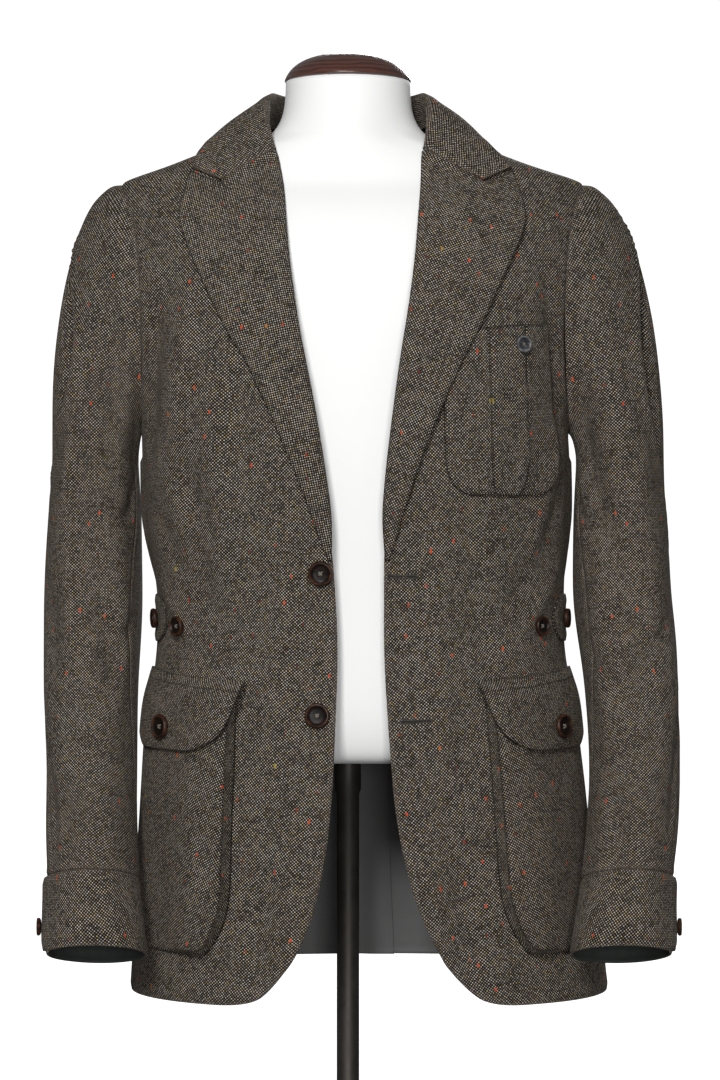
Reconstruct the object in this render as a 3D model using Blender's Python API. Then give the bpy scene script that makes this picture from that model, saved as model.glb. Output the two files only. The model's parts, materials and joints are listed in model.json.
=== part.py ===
# Safari jacket on a limbless dress form. Metres; +X wearer's left, -Y front, +Z up.
import math
import bmesh
import bpy
from mathutils import Matrix, Vector

# Finishes: colour, roughness, metallic
FINISHES = {
    "tweed": ((0.075, 0.065, 0.050), 0.95, 0.0),
    "horn": ((0.035, 0.022, 0.016), 0.30, 0.0),
    "grey_horn": ((0.120, 0.120, 0.130), 0.28, 0.0),
    "form_cover": ((0.860, 0.860, 0.850), 0.75, 0.0),
    "dark_wood": ((0.070, 0.030, 0.020), 0.30, 0.0),
    "dark_steel": ((0.050, 0.045, 0.040), 0.45, 0.8),
}
# Pieces that aren't cloth, by the words in their names; the first that fits is taken
FINISH_WORDS = (
    ("chest_button", "grey_horn"),
    ("button", "horn"),
    ("form_body", "form_cover"),
    ("neck_cap", "dark_wood"),
    ("stand_", "dark_steel"),
)

# Cloth walls and clearances
CLOTH = 0.002
SEAM = 0.0003
LIE = 0.0008
HEM_Z = 0.140
SQUARE = 2.4

# Body rings: up from hem, half width, front depth, back depth, sideways shift
BODY_RINGS = (
    (0.000, 0.210, 0.138, 0.128, 0.019),
    (0.130, 0.197, 0.134, 0.122, 0.014),
    (0.240, 0.187, 0.129, 0.112, 0.012),
    (0.323, 0.1775, 0.124, 0.100, 0.011),
    (0.410, 0.1845, 0.131, 0.112, 0.008),
    (0.490, 0.187, 0.137, 0.125, 0.006),
    (0.580, 0.197, 0.128, 0.128, 0.004),
    (0.640, 0.204, 0.108, 0.115, 0.004),
    (0.680, 0.207, 0.084, 0.099, 0.004),
    (0.702, 0.204, 0.063, 0.084, 0.004),
    (0.720, 0.157, 0.056, 0.076, 0.002),
    (0.752, 0.075, 0.048, 0.066, 0.000),
)
NECK_UP = 0.752

# Armhole oval in the side plane
ARM_LOW = 0.488
ARM_TOP = 0.702
ARM_FRONT = 0.060
ARM_BACK = 0.062
ARM_STEPS = 12

# Front edge from hem to break: up, half gap
FRONT_EDGE = (
    (0.0000, 0.118),
    (0.0032, 0.098),
    (0.0157, 0.083),
    (0.0324, 0.0675),
    (0.0466, 0.0575),
    (0.0800, 0.043),
    (0.1225, 0.033),
    (0.1630, 0.027),
    (0.2400, 0.022),
    (0.3000, 0.0195),
    (0.3740, 0.0215),
)
BREAK_UP = 0.374
# Lapel rows: roll up, roll x, edge up, edge x
LAPEL_ROWS = (
    (0.374, 0.0222, 0.374, 0.0258),
    (0.404, 0.0240, 0.395, 0.0330),
    (0.434, 0.0275, 0.430, 0.0440),
    (0.494, 0.0355, 0.485, 0.0650),
    (0.547, 0.0445, 0.526, 0.0840),
    (0.600, 0.0535, 0.580, 0.1120),
    (0.654, 0.0595, 0.625, 0.1330),
    (0.690, 0.0625, 0.652, 0.1440),
    (0.720, 0.0655, 0.668, 0.1475),
    (0.7252, 0.0660, 0.7072, 0.1385),
)
# Lapel columns: share from roll to edge, dip of the top edge under the collar's end
LAPEL_COLS = (
    (0.00, 0.0000),
    (0.02, 0.0000),
    (0.10, 0.0011),
    (0.28, 0.0062),
    (0.46, 0.0108),
    (0.64, 0.0184),
    (0.82, 0.0105),
    (1.00, 0.0000),
)
LAPEL_STEPS = 16
# How the roll leaves the front edge, row by row from the break: sideways, out
LAPEL_ROLL = ((0.0, 0.0019), (-0.0014, 0.0014), (-0.0028, 0.0002), (-0.0032, -0.0010))
NECK_EDGE = ((0.720, 0.0655), (0.728, 0.0740), (0.735, 0.0790), (0.742, 0.0785), (0.752, 0.0745))
LAPEL_OUT = 0.0048
VENT_UP = 0.215
VENT_LAP = 0.033
VENT_STEP = 0.0031

# Body rows outside the armhole
ROWS_LOW = (0.0, 0.0032, 0.010, 0.0200, 0.0324, 0.0466, 0.080, 0.1225, 0.163, 0.205, 0.235, 0.270,
            0.301, 0.323, 0.345, 0.374, 0.410, 0.450)
ROWS_TOP = (0.7065, 0.713, 0.720, 0.731, 0.742, 0.752)
# The back's hem is higher than the front's, and its rows are wider apart
BACK_SKIPS = (0.0, 0.0032, 0.0200, 0.0466, 0.235)
FRONT_COLS = 9
BACK_COLS = 8

# Large soft folds on the body: degrees low, degrees high, up low, up high, depth, half width in degrees
BODY_FOLDS = (
    (70, 67, 0.355, 0.56, 0.0025, 9),
    (-62, -54, 0.36, 0.62, 0.0030, 10),
    (44, 46, 0.02, 0.24, 0.0040, 11),
    (-40, -46, 0.01, 0.25, 0.0045, 12),
    (150, 140, 0.02, 0.28, -0.0040, 12),
    (-146, -138, 0.01, 0.26, -0.0040, 12),
    (122, 116, 0.355, 0.58, 0.0035, 11),
    (-120, -117, 0.355, 0.60, 0.0040, 11),
)

# Sleeve rings below the cap: up, right x, left x, y, half width, half depth, tilt, twist in degrees
SLEEVE_RINGS = (
    (0.4600, 0.2228, 0.2394, 0.010, 0.0380, 0.070, 0, -3),
    (0.4000, 0.2236, 0.2407, 0.014, 0.0417, 0.067, 2, 8),
    (0.3400, 0.2246, 0.2418, 0.010, 0.0437, 0.064, 5, 22),
    (0.2800, 0.2250, 0.2480, -0.006, 0.0427, 0.060, 9, 18),
    (0.2100, 0.2230, 0.2500, -0.036, 0.0405, 0.055, 13, 2),
    (0.1500, 0.2195, 0.2450, -0.070, 0.0400, 0.050, 16, -8),
    (0.1040, 0.2150, 0.2365, -0.098, 0.0395, 0.0475, 17, -20),
    (0.0445, 0.2095, 0.2285, -0.130, 0.0432, 0.0450, 17, -32),
)
SLEEVE_UPS = (0.430, 0.400, 0.370, 0.340, 0.310, 0.280, 0.245, 0.210, 0.175, 0.140, 0.104)
CAP_STEPS = (0.0, 0.10, 0.23, 0.40, 0.58, 0.79, 1.0)
CUFF_UPS = (0.1034, 0.084, 0.063, 0.0445)
CUFF_START = 166
CUFF_LAP = 18
FRONT_SEAM_COL = 1
BACK_SEAM_COL = 11
# Sleeve folds: degrees low, degrees high, up low, up high, depth, half width in degrees
SLEEVE_FOLDS = (
    (118, 84, 0.12, 0.42, -0.0050, 20),
    (150, 130, 0.16, 0.46, 0.0030, 16),
    (78, 110, 0.30, 0.52, -0.0040, 18),
    (160, 178, 0.10, 0.30, -0.0040, 18),
    (225, 215, 0.25, 0.48, -0.0040, 20),
    (250, 235, 0.12, 0.34, 0.0040, 18),
)

# Collar stations: fold x, y, up; edge x, y, least up; stand drop
COLLAR = (
    (0.0720, -0.032, 0.7600, 0.1290, -0.0300, 0.690, 0.012),
    (0.0690, 0.006, 0.7845, 0.1130, 0.0100, 0.720, 0.029),
    (0.0510, 0.049, 0.7870, 0.0790, 0.0680, 0.737, 0.032),
    (0.0000, 0.072, 0.7870, 0.0000, 0.0860, 0.738, 0.033),
)
# Collar end on the gorge: x, up
COLLAR_END = ((0.0662, 0.7272), (0.0900, 0.7120), (0.1125, 0.6985), (0.1375, 0.7105))
COLLAR_BETWEEN = 3

# Chest patch pocket and its pleat
POCKET_IN = 0.075
POCKET_OUT = 0.170
POCKET_LOW = 0.429
POCKET_TOP = 0.566
POCKET_ROUND = 0.022
PLEAT_RISE = 0.0014

# Hip bellows pockets and flaps, degrees from the front centre
HIP_FRONT = 30.5
HIP_BACK = 80.0
HIP_LOW = 0.0425
HIP_MOUTH = 0.258
HIP_DEPTH = 0.014
HIP_FLAT = 60.0
HIP_CHAMFER = 7.0
FLAP_FRONT = 27.5
FLAP_FRONT_LOW = 34.0
FLAP_BACK = 83.0
FLAP_TOP_FRONT = 0.272
FLAP_TOP_BACK = 0.281
FLAP_LOW = 0.212

# Half belt and buttons
BELT_UP = 0.3235
BELT_HALF = 0.0205
BELT_FRONT = 66.0
BUTTON_BIG = 0.0105
BUTTON_SMALL = 0.0072
BUTTON_THICK = 0.0042

# Dress form and stand: up, inset from the cloth's outer face
FORM_INSETS = (
    (0.210, 0.036),
    (0.240, 0.026),
    (0.323, 0.020),
    (0.410, 0.021),
    (0.490, 0.024),
    (0.580, 0.018),
    (0.640, 0.010),
    (0.675, 0.0055),
    (0.698, 0.0034),
    (0.712, 0.0032),
    (0.722, 0.0040),
    (0.734, 0.0055),
)
FORM_UPS = (0.212, 0.240, 0.280, 0.323, 0.365, 0.410, 0.450, 0.490, 0.535, 0.580, 0.615, 0.645, 0.668, 0.685,
            0.697, 0.705, 0.713, 0.723, 0.734)
# Neck of the form: up, half width, front, back
FORM_NECK = (
    (0.742, 0.0760, 0.0455, 0.0600),
    (0.750, 0.0645, 0.0470, 0.0590),
    (0.762, 0.0580, 0.0500, 0.0590),
    (0.776, 0.0555, 0.0515, 0.0595),
    (0.7932, 0.0550, 0.0510, 0.0590),
)
# Fullness at the front of the form's neck root: up, forward
FORM_THROAT = (
    (0.6800, 0.0000),
    (0.7000, 0.0030),
    (0.7150, 0.0070),
    (0.7340, 0.0115),
    (0.7420, 0.0115),
    (0.7500, 0.0085),
    (0.7620, 0.0030),
    (0.7760, 0.0000),
)
THROAT_HALF = 0.060
FORM_BOTTOM_ROUND = 0.014
CAP_LOW = 0.7935
CAP_HIGH = 0.8187
CAP_RADIUS = 0.0563
POLE_RADIUS = 0.0115
BASE_RADIUS = 0.160
BASE_THICK = 0.012


def clear_scene():
    for item in list(bpy.data.objects):
        bpy.data.objects.remove(item, do_unlink=True)


def smooth_curve(table, column, key):
    # Monotone cubic through one column, so that no ring bulges between rows
    xs = [row[0] for row in table]
    ys = [row[column] for row in table]
    if xs[0] > xs[-1]:
        xs.reverse()
        ys.reverse()
    if key <= xs[0]:
        return ys[0]
    if key >= xs[-1]:
        return ys[-1]
    steps = [(ys[i + 1] - ys[i]) / (xs[i + 1] - xs[i]) for i in range(len(xs) - 1)]
    slopes = [steps[0]]
    for i in range(1, len(steps)):
        before, after = steps[i - 1], steps[i]
        slopes.append(0.0 if before * after <= 0 else 2 * before * after / (before + after))
    slopes.append(steps[-1])
    i = 0
    while key > xs[i + 1]:
        i += 1
    span = xs[i + 1] - xs[i]
    t = (key - xs[i]) / span
    low = (1 + 2 * t) * (1 - t) ** 2 * ys[i] + t * (1 - t) ** 2 * span * slopes[i]
    high = t * t * (3 - 2 * t) * ys[i + 1] + t * t * (t - 1) * span * slopes[i + 1]
    return low + high


def straight_curve(table, column, key):
    if key <= table[0][0]:
        return table[0][column]
    for low, high in zip(table, table[1:]):
        if key <= high[0]:
            t = (key - low[0]) / (high[0] - low[0])
            return low[column] + t * (high[column] - low[column])
    return table[-1][column]


def bump(distance, half_width):
    ratio = abs(distance) / half_width
    return 0.0 if ratio >= 1 else 0.5 + 0.5 * math.cos(math.pi * ratio)


def fold_height(folds, degrees, up):
    total = 0.0
    for low_deg, high_deg, low_up, high_up, depth, half_width in folds:
        t = (up - low_up) / (high_up - low_up)
        if 0 < t < 1:
            centre = low_deg + t * (high_deg - low_deg)
            total += depth * math.sin(math.pi * t) * bump(degrees - centre, half_width)
    return total


def ring(up):
    return [smooth_curve(BODY_RINGS, column, up) for column in (1, 2, 3, 4)]


def body_flat(angle, up):
    half_width, front, back, shift = ring(up)
    across, along = math.sin(angle), math.cos(angle)
    x = shift + math.copysign(half_width * abs(across) ** (2 / SQUARE), across)
    depth = front if along > 0 else back
    y = -math.copysign(depth * abs(along) ** (2 / SQUARE), along)
    return Vector((x, y, HEM_Z + up))


def body_normal(angle, up):
    turn = 0.02
    rise = 0.004
    sideways = body_flat(angle + turn, up) - body_flat(angle - turn, up)
    upward = body_flat(angle, min(up + rise, NECK_UP)) - body_flat(angle, up - rise)
    return sideways.cross(upward).normalized()


def body_point(angle, up, out=0.0, folded=True):
    fold = fold_height(BODY_FOLDS, math.degrees(angle), up) if folded else 0.0
    return body_flat(angle, up) + body_normal(angle, up) * (out + fold)


def angle_at_x(x, up):
    # Angle on the front of the ring at a distance x from the ring's own centre
    half_width = ring(up)[0]
    share = min(abs(x) / half_width, 1.0)
    return math.copysign(math.asin(share ** (SQUARE / 2)), x)


def front_point(side, x, up, out=0.0):
    # x is measured from the ring's own centre line
    return body_point(angle_at_x(side * x, up), up, out)


def angle_step(angle, up, metres):
    # Angle that lies a distance further round the ring
    reach = (body_flat(angle + 0.01, up) - body_flat(angle - 0.01, up)).length / 0.02
    return angle + metres / reach


def grid_normals(points, wrap=False):
    rows, cols = len(points), len(points[0])
    normals = []
    for r in range(rows):
        line = []
        for c in range(cols):
            if wrap:
                across = points[r][(c + 1) % cols] - points[r][c - 1]
            else:
                across = points[r][min(c + 1, cols - 1)] - points[r][max(c - 1, 0)]
            along = points[min(r + 1, rows - 1)][c] - points[max(r - 1, 0)][c]
            line.append(across.cross(along).normalized())
        normals.append(line)
    return normals


def finish_for(name):
    word = next((finish for part, finish in FINISH_WORDS if part in name), "tweed")
    if word in bpy.data.materials:
        return bpy.data.materials[word]
    colour, roughness, metallic = FINISHES[word]
    finish = bpy.data.materials.new(word)
    finish.use_nodes = True
    shader = finish.node_tree.nodes["Principled BSDF"]
    shader.inputs["Base Color"].default_value = (*colour, 1.0)
    shader.inputs["Roughness"].default_value = roughness
    shader.inputs["Metallic"].default_value = metallic
    return finish


def solid(name, points, faces):
    mesh = bpy.data.meshes.new(name)
    mesh.from_pydata([tuple(point) for point in points], [], faces)
    form = bmesh.new()
    form.from_mesh(mesh)
    bmesh.ops.triangulate(form, faces=form.faces[:])
    bmesh.ops.recalc_face_normals(form, faces=form.faces[:])
    form.to_mesh(mesh)
    form.free()
    mesh.materials.append(finish_for(name))
    piece = bpy.data.objects.new(name, mesh)
    bpy.context.scene.collection.objects.link(piece)
    return piece


def wall(name, outer, inner, keep=None):
    # Closed wall between two grids, with rims wherever the kept cells end
    cols = len(outer[0])
    count = len(outer) * cols
    cells = []
    for r in range(len(outer) - 1):
        for c in range(cols - 1):
            if keep is None or keep(r, c):
                cells.append((r * cols + c, r * cols + c + 1, (r + 1) * cols + c + 1, (r + 1) * cols + c))
    edges = set()
    for cell in cells:
        edges.update((cell[i], cell[(i + 1) % 4]) for i in range(4))
    faces = list(cells)
    faces += [tuple(count + i for i in reversed(cell)) for cell in cells]
    for start, end in sorted(edges):
        if (end, start) not in edges:
            faces.append((end, start, count + start, count + end))
    points = [p for line in outer for p in line] + [p for line in inner for p in line]
    used = sorted({i for face in faces for i in face})
    place = {old: new for new, old in enumerate(used)}
    return solid(name, [points[i] for i in used], [tuple(place[i] for i in face) for face in faces])


def middle_wall(name, points, thick=CLOTH):
    # Wall of even thickness about a middle surface
    normals = grid_normals(points)
    outer = [[p + n * thick / 2 for p, n in zip(a, b)] for a, b in zip(points, normals)]
    inner = [[p - n * thick / 2 for p, n in zip(a, b)] for a, b in zip(points, normals)]
    return wall(name, outer, inner)


def arm_oval(turn, depth, inset=0.0):
    # Depth and height on the armhole oval; the turn runs from the underarm to the shoulder
    middle, half = (ARM_LOW + ARM_TOP) / 2, (ARM_TOP - ARM_LOW) / 2 - inset
    return (depth - inset) * math.sin(turn), middle - half * math.cos(turn)


def arm_rows():
    return [arm_oval(math.pi * i / ARM_STEPS, ARM_FRONT)[1] for i in range(ARM_STEPS + 1)]


def arm_angle(reach, up, front):
    depth = ring(up)[1] if front else ring(up)[2]
    turn = math.asin(min((max(reach, 0.0) / depth) ** (SQUARE / 2), 0.98))
    return math.pi / 2 - turn if front else math.pi / 2 + turn


def side_angle(up, front):
    # Edge of a front or back at the side seam, round the armhole and along the shoulder
    if not ARM_LOW < up < ARM_TOP:
        return math.pi / 2
    share = (ARM_LOW + ARM_TOP - 2 * up) / (ARM_TOP - ARM_LOW)
    reach = arm_oval(math.acos(share), ARM_FRONT if front else ARM_BACK)[0]
    return arm_angle(reach, up, front)


def body_rows():
    return list(ROWS_LOW) + arm_rows() + list(ROWS_TOP)


def front_inner_x(up):
    if up <= BREAK_UP:
        return smooth_curve(FRONT_EDGE, 1, up)
    if up <= LAPEL_ROWS[-1][0]:
        return smooth_curve(LAPEL_ROWS, 1, up)
    return straight_curve(NECK_EDGE, 1, up)


def make_front(name, side):
    outer, inner = [], []
    for up in body_rows():
        edge = angle_at_x(front_inner_x(up), up)
        seam = side_angle(up, True)
        gap = SEAM / 2 if not ARM_LOW < up < ARM_TOP else 0.0
        seam = angle_step(seam, up, -gap)
        angles = [side * (edge + (seam - edge) * c / FRONT_COLS) for c in range(FRONT_COLS + 1)]
        outer.append([body_point(a, up) for a in angles])
        inner.append([body_point(a, up, -CLOTH) for a in angles])
    wall(name, outer, inner)


def make_back(name, side):
    # The right back runs on under the left one below the vent's top
    rows = [up for up in body_rows() if up not in BACK_SKIPS]
    outer, inner = [], []
    for up in rows:
        seam = angle_step(side_angle(up, False), up, SEAM / 2 if not ARM_LOW < up < ARM_TOP else 0.0)
        centre = angle_step(math.pi, up, -SEAM / 2)
        lapped = side < 0 and up <= VENT_UP
        if lapped:
            centre = angle_step(math.pi, up, -0.0012)
        angles = [seam + (centre - seam) * c / BACK_COLS for c in range(BACK_COLS + 1)]
        outs = [0.0] * len(angles)
        if lapped:
            outs[-1] = -VENT_STEP
            angles[-2] = angle_step(math.pi, up, -0.007)
        if side < 0:
            angles += [angle_step(math.pi, up, VENT_LAP * t) for t in (0.35, 0.7, 1.0)]
            outs += [-VENT_STEP] * 3
        outer.append([body_point(side * a, up, o) for a, o in zip(angles, outs)])
        inner.append([body_point(side * a, up, o - CLOTH) for a, o in zip(angles, outs)])
    wall(name, outer, inner, lambda r, c: c < BACK_COLS or rows[r + 1] <= VENT_UP)


def make_lapel(name, side):
    grid = []
    top = len(LAPEL_ROWS) - 1
    indexed = [(i,) + row for i, row in enumerate(LAPEL_ROWS)]
    for r in range(LAPEL_STEPS):
        t = top * r / (LAPEL_STEPS - 1)
        roll_up, roll_x, edge_up, edge_x = [smooth_curve(indexed, column, t) for column in (1, 2, 3, 4)]
        # The leaf rises from the front over the first rows, and its last row dips under the collar
        rise = min(1.0, r / 3.3)
        last = max(0.0, t - top + 1)
        roll_aside, roll_out = LAPEL_ROLL[min(r, len(LAPEL_ROLL) - 1)]
        line = []
        for c, (share, dip) in enumerate(LAPEL_COLS):
            even = c / (len(LAPEL_COLS) - 1)
            share = even + (share - even) * rise
            x = roll_x + share * (edge_x - roll_x)
            up = roll_up + share * (edge_up - roll_up) - dip * last
            lift = (roll_out, 0.0016, LAPEL_OUT * 0.85)[c] if c < 3 else LAPEL_OUT
            out = lift if c == 0 else 0.0019 + (lift - 0.0019) * rise
            if c < 2:
                x += roll_aside * (1.0 - 0.12 * c)
            line.append(front_point(side, x, up, out))
        grid.append(line if side > 0 else line[::-1])
    middle_wall(name, grid)


def roof_up(x, y):
    # Height of the shoulder at a plan position
    def inside(up):
        half_width, front, back, shift = ring(up)
        depth = front if y < 0 else back
        return (abs(x - shift) / half_width) ** SQUARE + (abs(y) / depth) ** SQUARE < 1
    low, high = 0.50, NECK_UP
    if inside(high):
        return high
    for _ in range(40):
        middle = (low + high) / 2
        if inside(middle):
            low = middle
        else:
            high = middle
    return low


def roof_clear(x, y):
    reach = 0.0042
    around = [roof_up(x + i * reach, y + j * reach) for i, j in
              ((0, 0), (1, 0), (-1, 0), (0, 1), (0, -1), (0.7, 0.7), (0.7, -0.7), (-0.7, 0.7), (-0.7, -0.7))]
    return max(around) + 0.0012


def collar_line(station):
    # Stand foot, stand, fold inside, fold, fall and edge of one station
    fold_x, fold_y, fold_up, edge_x, edge_y, edge_up, drop = station
    fold = Vector((fold_x, fold_y, HEM_Z + fold_up))
    edge = Vector((edge_x, edge_y, HEM_Z + max(edge_up, roof_clear(edge_x, edge_y) + 0.001)))
    outward = Vector((edge_x - fold_x, edge_y - fold_y, 0)).normalized()
    foot = fold + outward * 0.002 + Vector((0, 0, -drop))
    line = [foot, (foot + fold) / 2 - outward * 0.0015, fold - outward * 0.0024 - Vector((0, 0, 0.0042)),
            fold + outward * 0.0004]
    for share, arch in ((0.16, 0.0022), (0.5, 0.006), (0.76, 0.004)):
        point = fold.lerp(edge, share)
        point.z += arch
        line.append(point)
    return line + [edge]


def collar_front_line(side):
    # End of the collar along the gorge, close over the front
    points = [front_point(side, x, up, LAPEL_OUT) for x, up in COLLAR_END]
    fold = points[0]
    inner = Vector((-0.0024 * side, 0.0, 0.0))
    line = [fold + inner + Vector((0, 0.0052, -0.001)), fold + inner + Vector((0, 0.0036, 0)),
            fold + inner * 0.8 + Vector((0, 0.0012, 0.0006)), fold]
    line += [points[0].lerp(points[1], 0.8), points[1].lerp(points[2], 0.4), points[2], points[3]]
    return line


def make_collar():
    lines = [collar_line(station) for station in COLLAR]
    mirrored = [[Vector((-p.x, p.y, p.z)) for p in line] for line in lines[-2::-1]]
    lines = [collar_front_line(1)] + lines + mirrored + [collar_front_line(-1)]
    count = (len(lines) - 1) * COLLAR_BETWEEN
    grid = []
    for k in range(count + 1):
        row = []
        for c in range(len(lines[0])):
            t = k / COLLAR_BETWEEN
            i = min(int(t), len(lines) - 2)
            f = t - i
            p0 = lines[max(i - 1, 0)][c]
            p1, p2 = lines[i][c], lines[i + 1][c]
            p3 = lines[min(i + 2, len(lines) - 1)][c]
            point = 0.5 * (2 * p1 + (p2 - p0) * f + (2 * p0 - 5 * p1 + 4 * p2 - p3) * f * f
                           + (3 * p1 - p0 - 3 * p2 + p3) * f ** 3)
            if c >= 4:
                point.z = max(point.z, HEM_Z + roof_clear(point.x, point.y))
            row.append(point)
        grid.append(row)
    middle_wall("collar", grid)


def arm_loop(side):
    # Armhole points from the underarm up the front, over the shoulder and down the back
    inset = 0.0008
    loop = []
    for i in range(2 * ARM_STEPS):
        front = i <= ARM_STEPS
        turn = math.pi * i / ARM_STEPS if front else math.pi * (2 * ARM_STEPS - i) / ARM_STEPS
        reach, up = arm_oval(turn, ARM_FRONT if front else ARM_BACK, inset)
        loop.append(body_point(side * arm_angle(reach, up, front), up, -0.0003))
    return loop


def sleeve_ring(side, up, grow=0.0):
    columns = [smooth_curve(SLEEVE_RINGS, c, up) for c in range(1, 8)]
    right_x, left_x, y, half_width, half_depth, tilt, twist = columns
    centre_x = left_x if side > 0 else right_x
    points = []
    for i in range(2 * ARM_STEPS):
        turn = math.pi * i / ARM_STEPS + math.radians(twist) * min(1.0, (0.46 - up) / 0.06 + 0.05)
        points.append(sleeve_at(side, up, turn, centre_x, y, half_width, half_depth, tilt, grow))
    return points


def sleeve_at(side, up, turn, centre_x, y, half_width, half_depth, tilt, grow=0.0):
    degrees = math.degrees(turn) % 360
    fold = fold_height(SLEEVE_FOLDS, degrees, up) + grow
    inward = math.cos(turn) * (half_width + fold)
    forward = math.sin(turn) * (half_depth + fold)
    lift = forward * math.tan(math.radians(tilt))
    return Vector((side * (centre_x - inward), y - forward, HEM_Z + up + lift))


def make_sleeve(side, upper_name, under_name):
    start = arm_loop(side)
    end = sleeve_ring(side, SLEEVE_RINGS[0][0])
    rings = []
    for s in CAP_STEPS:
        line = []
        for i, (a, b) in enumerate(zip(start, end)):
            turn = math.pi * i / ARM_STEPS
            reach = (b - a).length
            top = max(0.0, -math.cos(turn))
            leave = Vector((side * (0.85 + 1.15 * top), 0.0, -0.55 * math.cos(turn))) * 0.30 * reach
            arrive = Vector((0, 0, -1.15 * reach))
            point = (2 * s ** 3 - 3 * s * s + 1) * a + (s ** 3 - 2 * s * s + s) * leave
            point = point + (3 * s * s - 2 * s ** 3) * b + (s ** 3 - s * s) * arrive
            line.append(point)
        rings.append(line)
    rings += [sleeve_ring(side, up) for up in SLEEVE_UPS]
    if side < 0:
        rings = [[line[0]] + line[:0:-1] for line in rings]
    outward = grid_normals(rings, wrap=True)
    inside = [[p - CLOTH * facing(n, p, line) for p, n in zip(line, normals)]
              for line, normals in zip(rings, outward)]
    cols = 2 * ARM_STEPS
    first = FRONT_SEAM_COL if side > 0 else cols - BACK_SEAM_COL
    last = BACK_SEAM_COL if side > 0 else cols - FRONT_SEAM_COL
    wall(upper_name, sleeve_part(rings, first, last), sleeve_part(inside, first, last))
    wall(under_name, sleeve_part(rings, last, first + cols), sleeve_part(inside, last, first + cols))


def facing(normal, point, line):
    # Normal turned away from the middle of its own ring
    middle = sum(line, Vector()) / len(line)
    return normal if normal.dot(point - middle) > 0 else -normal


def sleeve_part(rings, first, last):
    cols = len(rings[0])
    part = []
    for line in rings:
        row = [line[c % cols].copy() for c in range(first, last + 1)]
        row[0] += (row[1] - row[0]).normalized() * SEAM / 2
        row[-1] += (row[-2] - row[-1]).normalized() * SEAM / 2
        part.append(row)
    return part


def cuff_column(side, turn, out):
    line = []
    for up in CUFF_UPS:
        columns = [smooth_curve(SLEEVE_RINGS, c, up) for c in range(1, 7)]
        right_x, left_x, y, half_width, half_depth, tilt = columns
        centre_x = left_x if side > 0 else right_x
        line.append(sleeve_at(side, up, turn, centre_x, y, half_width, half_depth, tilt, out))
    return line


def cuff_turn(share):
    # From under the lap, forward round the cuff, to the lap's own end
    start = math.radians(CUFF_START)
    return start + math.radians(360 + CUFF_LAP) * share


def make_cuff(name, side):
    steps = 26
    outer, inner = [], []
    for k in range(steps + 1):
        share = k / steps
        turn = cuff_turn(1 - share)
        # The lap's end lies over the band's start
        over = max(0.0, 1 - share * (360 + CUFF_LAP) / (CUFF_LAP + 14.0))
        out = 0.0 if over == 0 else (CLOTH + 2 * LIE) * min(1.0, over * 2.6)
        a = cuff_column(side, turn, out)
        b = cuff_column(side, turn, out - CLOTH)
        if k == 0:
            a[-1] = a[-1].lerp(a[-2], 0.55)
            b[-1] = b[-1].lerp(b[-2], 0.55)
        outer.append(a)
        inner.append(b)
    wall(name, outer, inner)


def button(name, centre, axis, radius, thick=BUTTON_THICK, sides=14):
    # Turned disc with a raised rim
    profile = ((0.0, 0.0), (0.82, 0.0), (1.0, 0.40), (0.90, 1.0), (0.66, 0.72), (0.0, 0.66))
    axis = axis.normalized()
    sideways = axis.orthogonal().normalized()
    other = axis.cross(sideways)
    points, faces = [], []
    for reach, rise in profile[1:-1]:
        for k in range(sides):
            turn = 2 * math.pi * k / sides
            spread = (sideways * math.cos(turn) + other * math.sin(turn)) * radius * reach
            points.append(centre + spread + axis * thick * rise)
    bottom, top = len(points), len(points) + 1
    points += [centre + axis * thick * profile[0][1], centre + axis * thick * profile[-1][1]]
    last = (len(profile) - 3) * sides
    for k in range(sides):
        n = (k + 1) % sides
        faces.append((bottom, n, k))
        faces.append((top, last + k, last + n))
        for layer in range(len(profile) - 3):
            low, high = layer * sides, (layer + 1) * sides
            faces.append((low + k, low + n, high + n, high + k))
    solid(name, points, faces)


def button_on(name, angle, up, out, radius, thick=BUTTON_THICK):
    button(name, body_point(angle, up, out), body_normal(angle, up), radius, thick)


def make_chest_pocket():
    cols = (0.0, 0.1, 0.25, 0.40, 0.41, 0.575, 0.73, 0.74, 0.86, 0.95, 1.0)
    rows = (0.0, 0.06, 0.16, 0.34, 0.55, 0.78, 1.0)
    outer, inner = [], []
    for share_up in rows:
        up = POCKET_LOW + share_up * (POCKET_TOP - POCKET_LOW)
        height = up - POCKET_LOW
        cut = 0.0
        if height < POCKET_ROUND:
            cut = POCKET_ROUND - math.sqrt(POCKET_ROUND ** 2 - (POCKET_ROUND - height) ** 2)
            cut = min(cut, POCKET_ROUND * 0.8)
        line_out, line_in = [], []
        for share in cols:
            x = POCKET_IN + cut + share * (POCKET_OUT - POCKET_IN - 2 * cut)
            raised = PLEAT_RISE if 0.405 < share < 0.735 else 0.0
            up_here = up + share * 0.010 * share_up
            line_out.append(front_point(1, x, up_here, LIE + CLOTH + raised))
            line_in.append(front_point(1, x, up_here, LIE))
        outer.append(line_out)
        inner.append(line_in)
    wall("chest_pocket", outer, inner)


def hip_depth(degrees):
    # Bellows depth, fullest at the front gusset and flat towards the side
    t = min(max((HIP_FLAT - degrees) / (HIP_FLAT - HIP_FRONT), 0.0), 1.0)
    return HIP_DEPTH * t * t * (3 - 2 * t)


def hip_front(up):
    low = max(0.0, 1 - (up - HIP_LOW) / 0.045)
    return HIP_FRONT + HIP_CHAMFER * low * low


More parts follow.
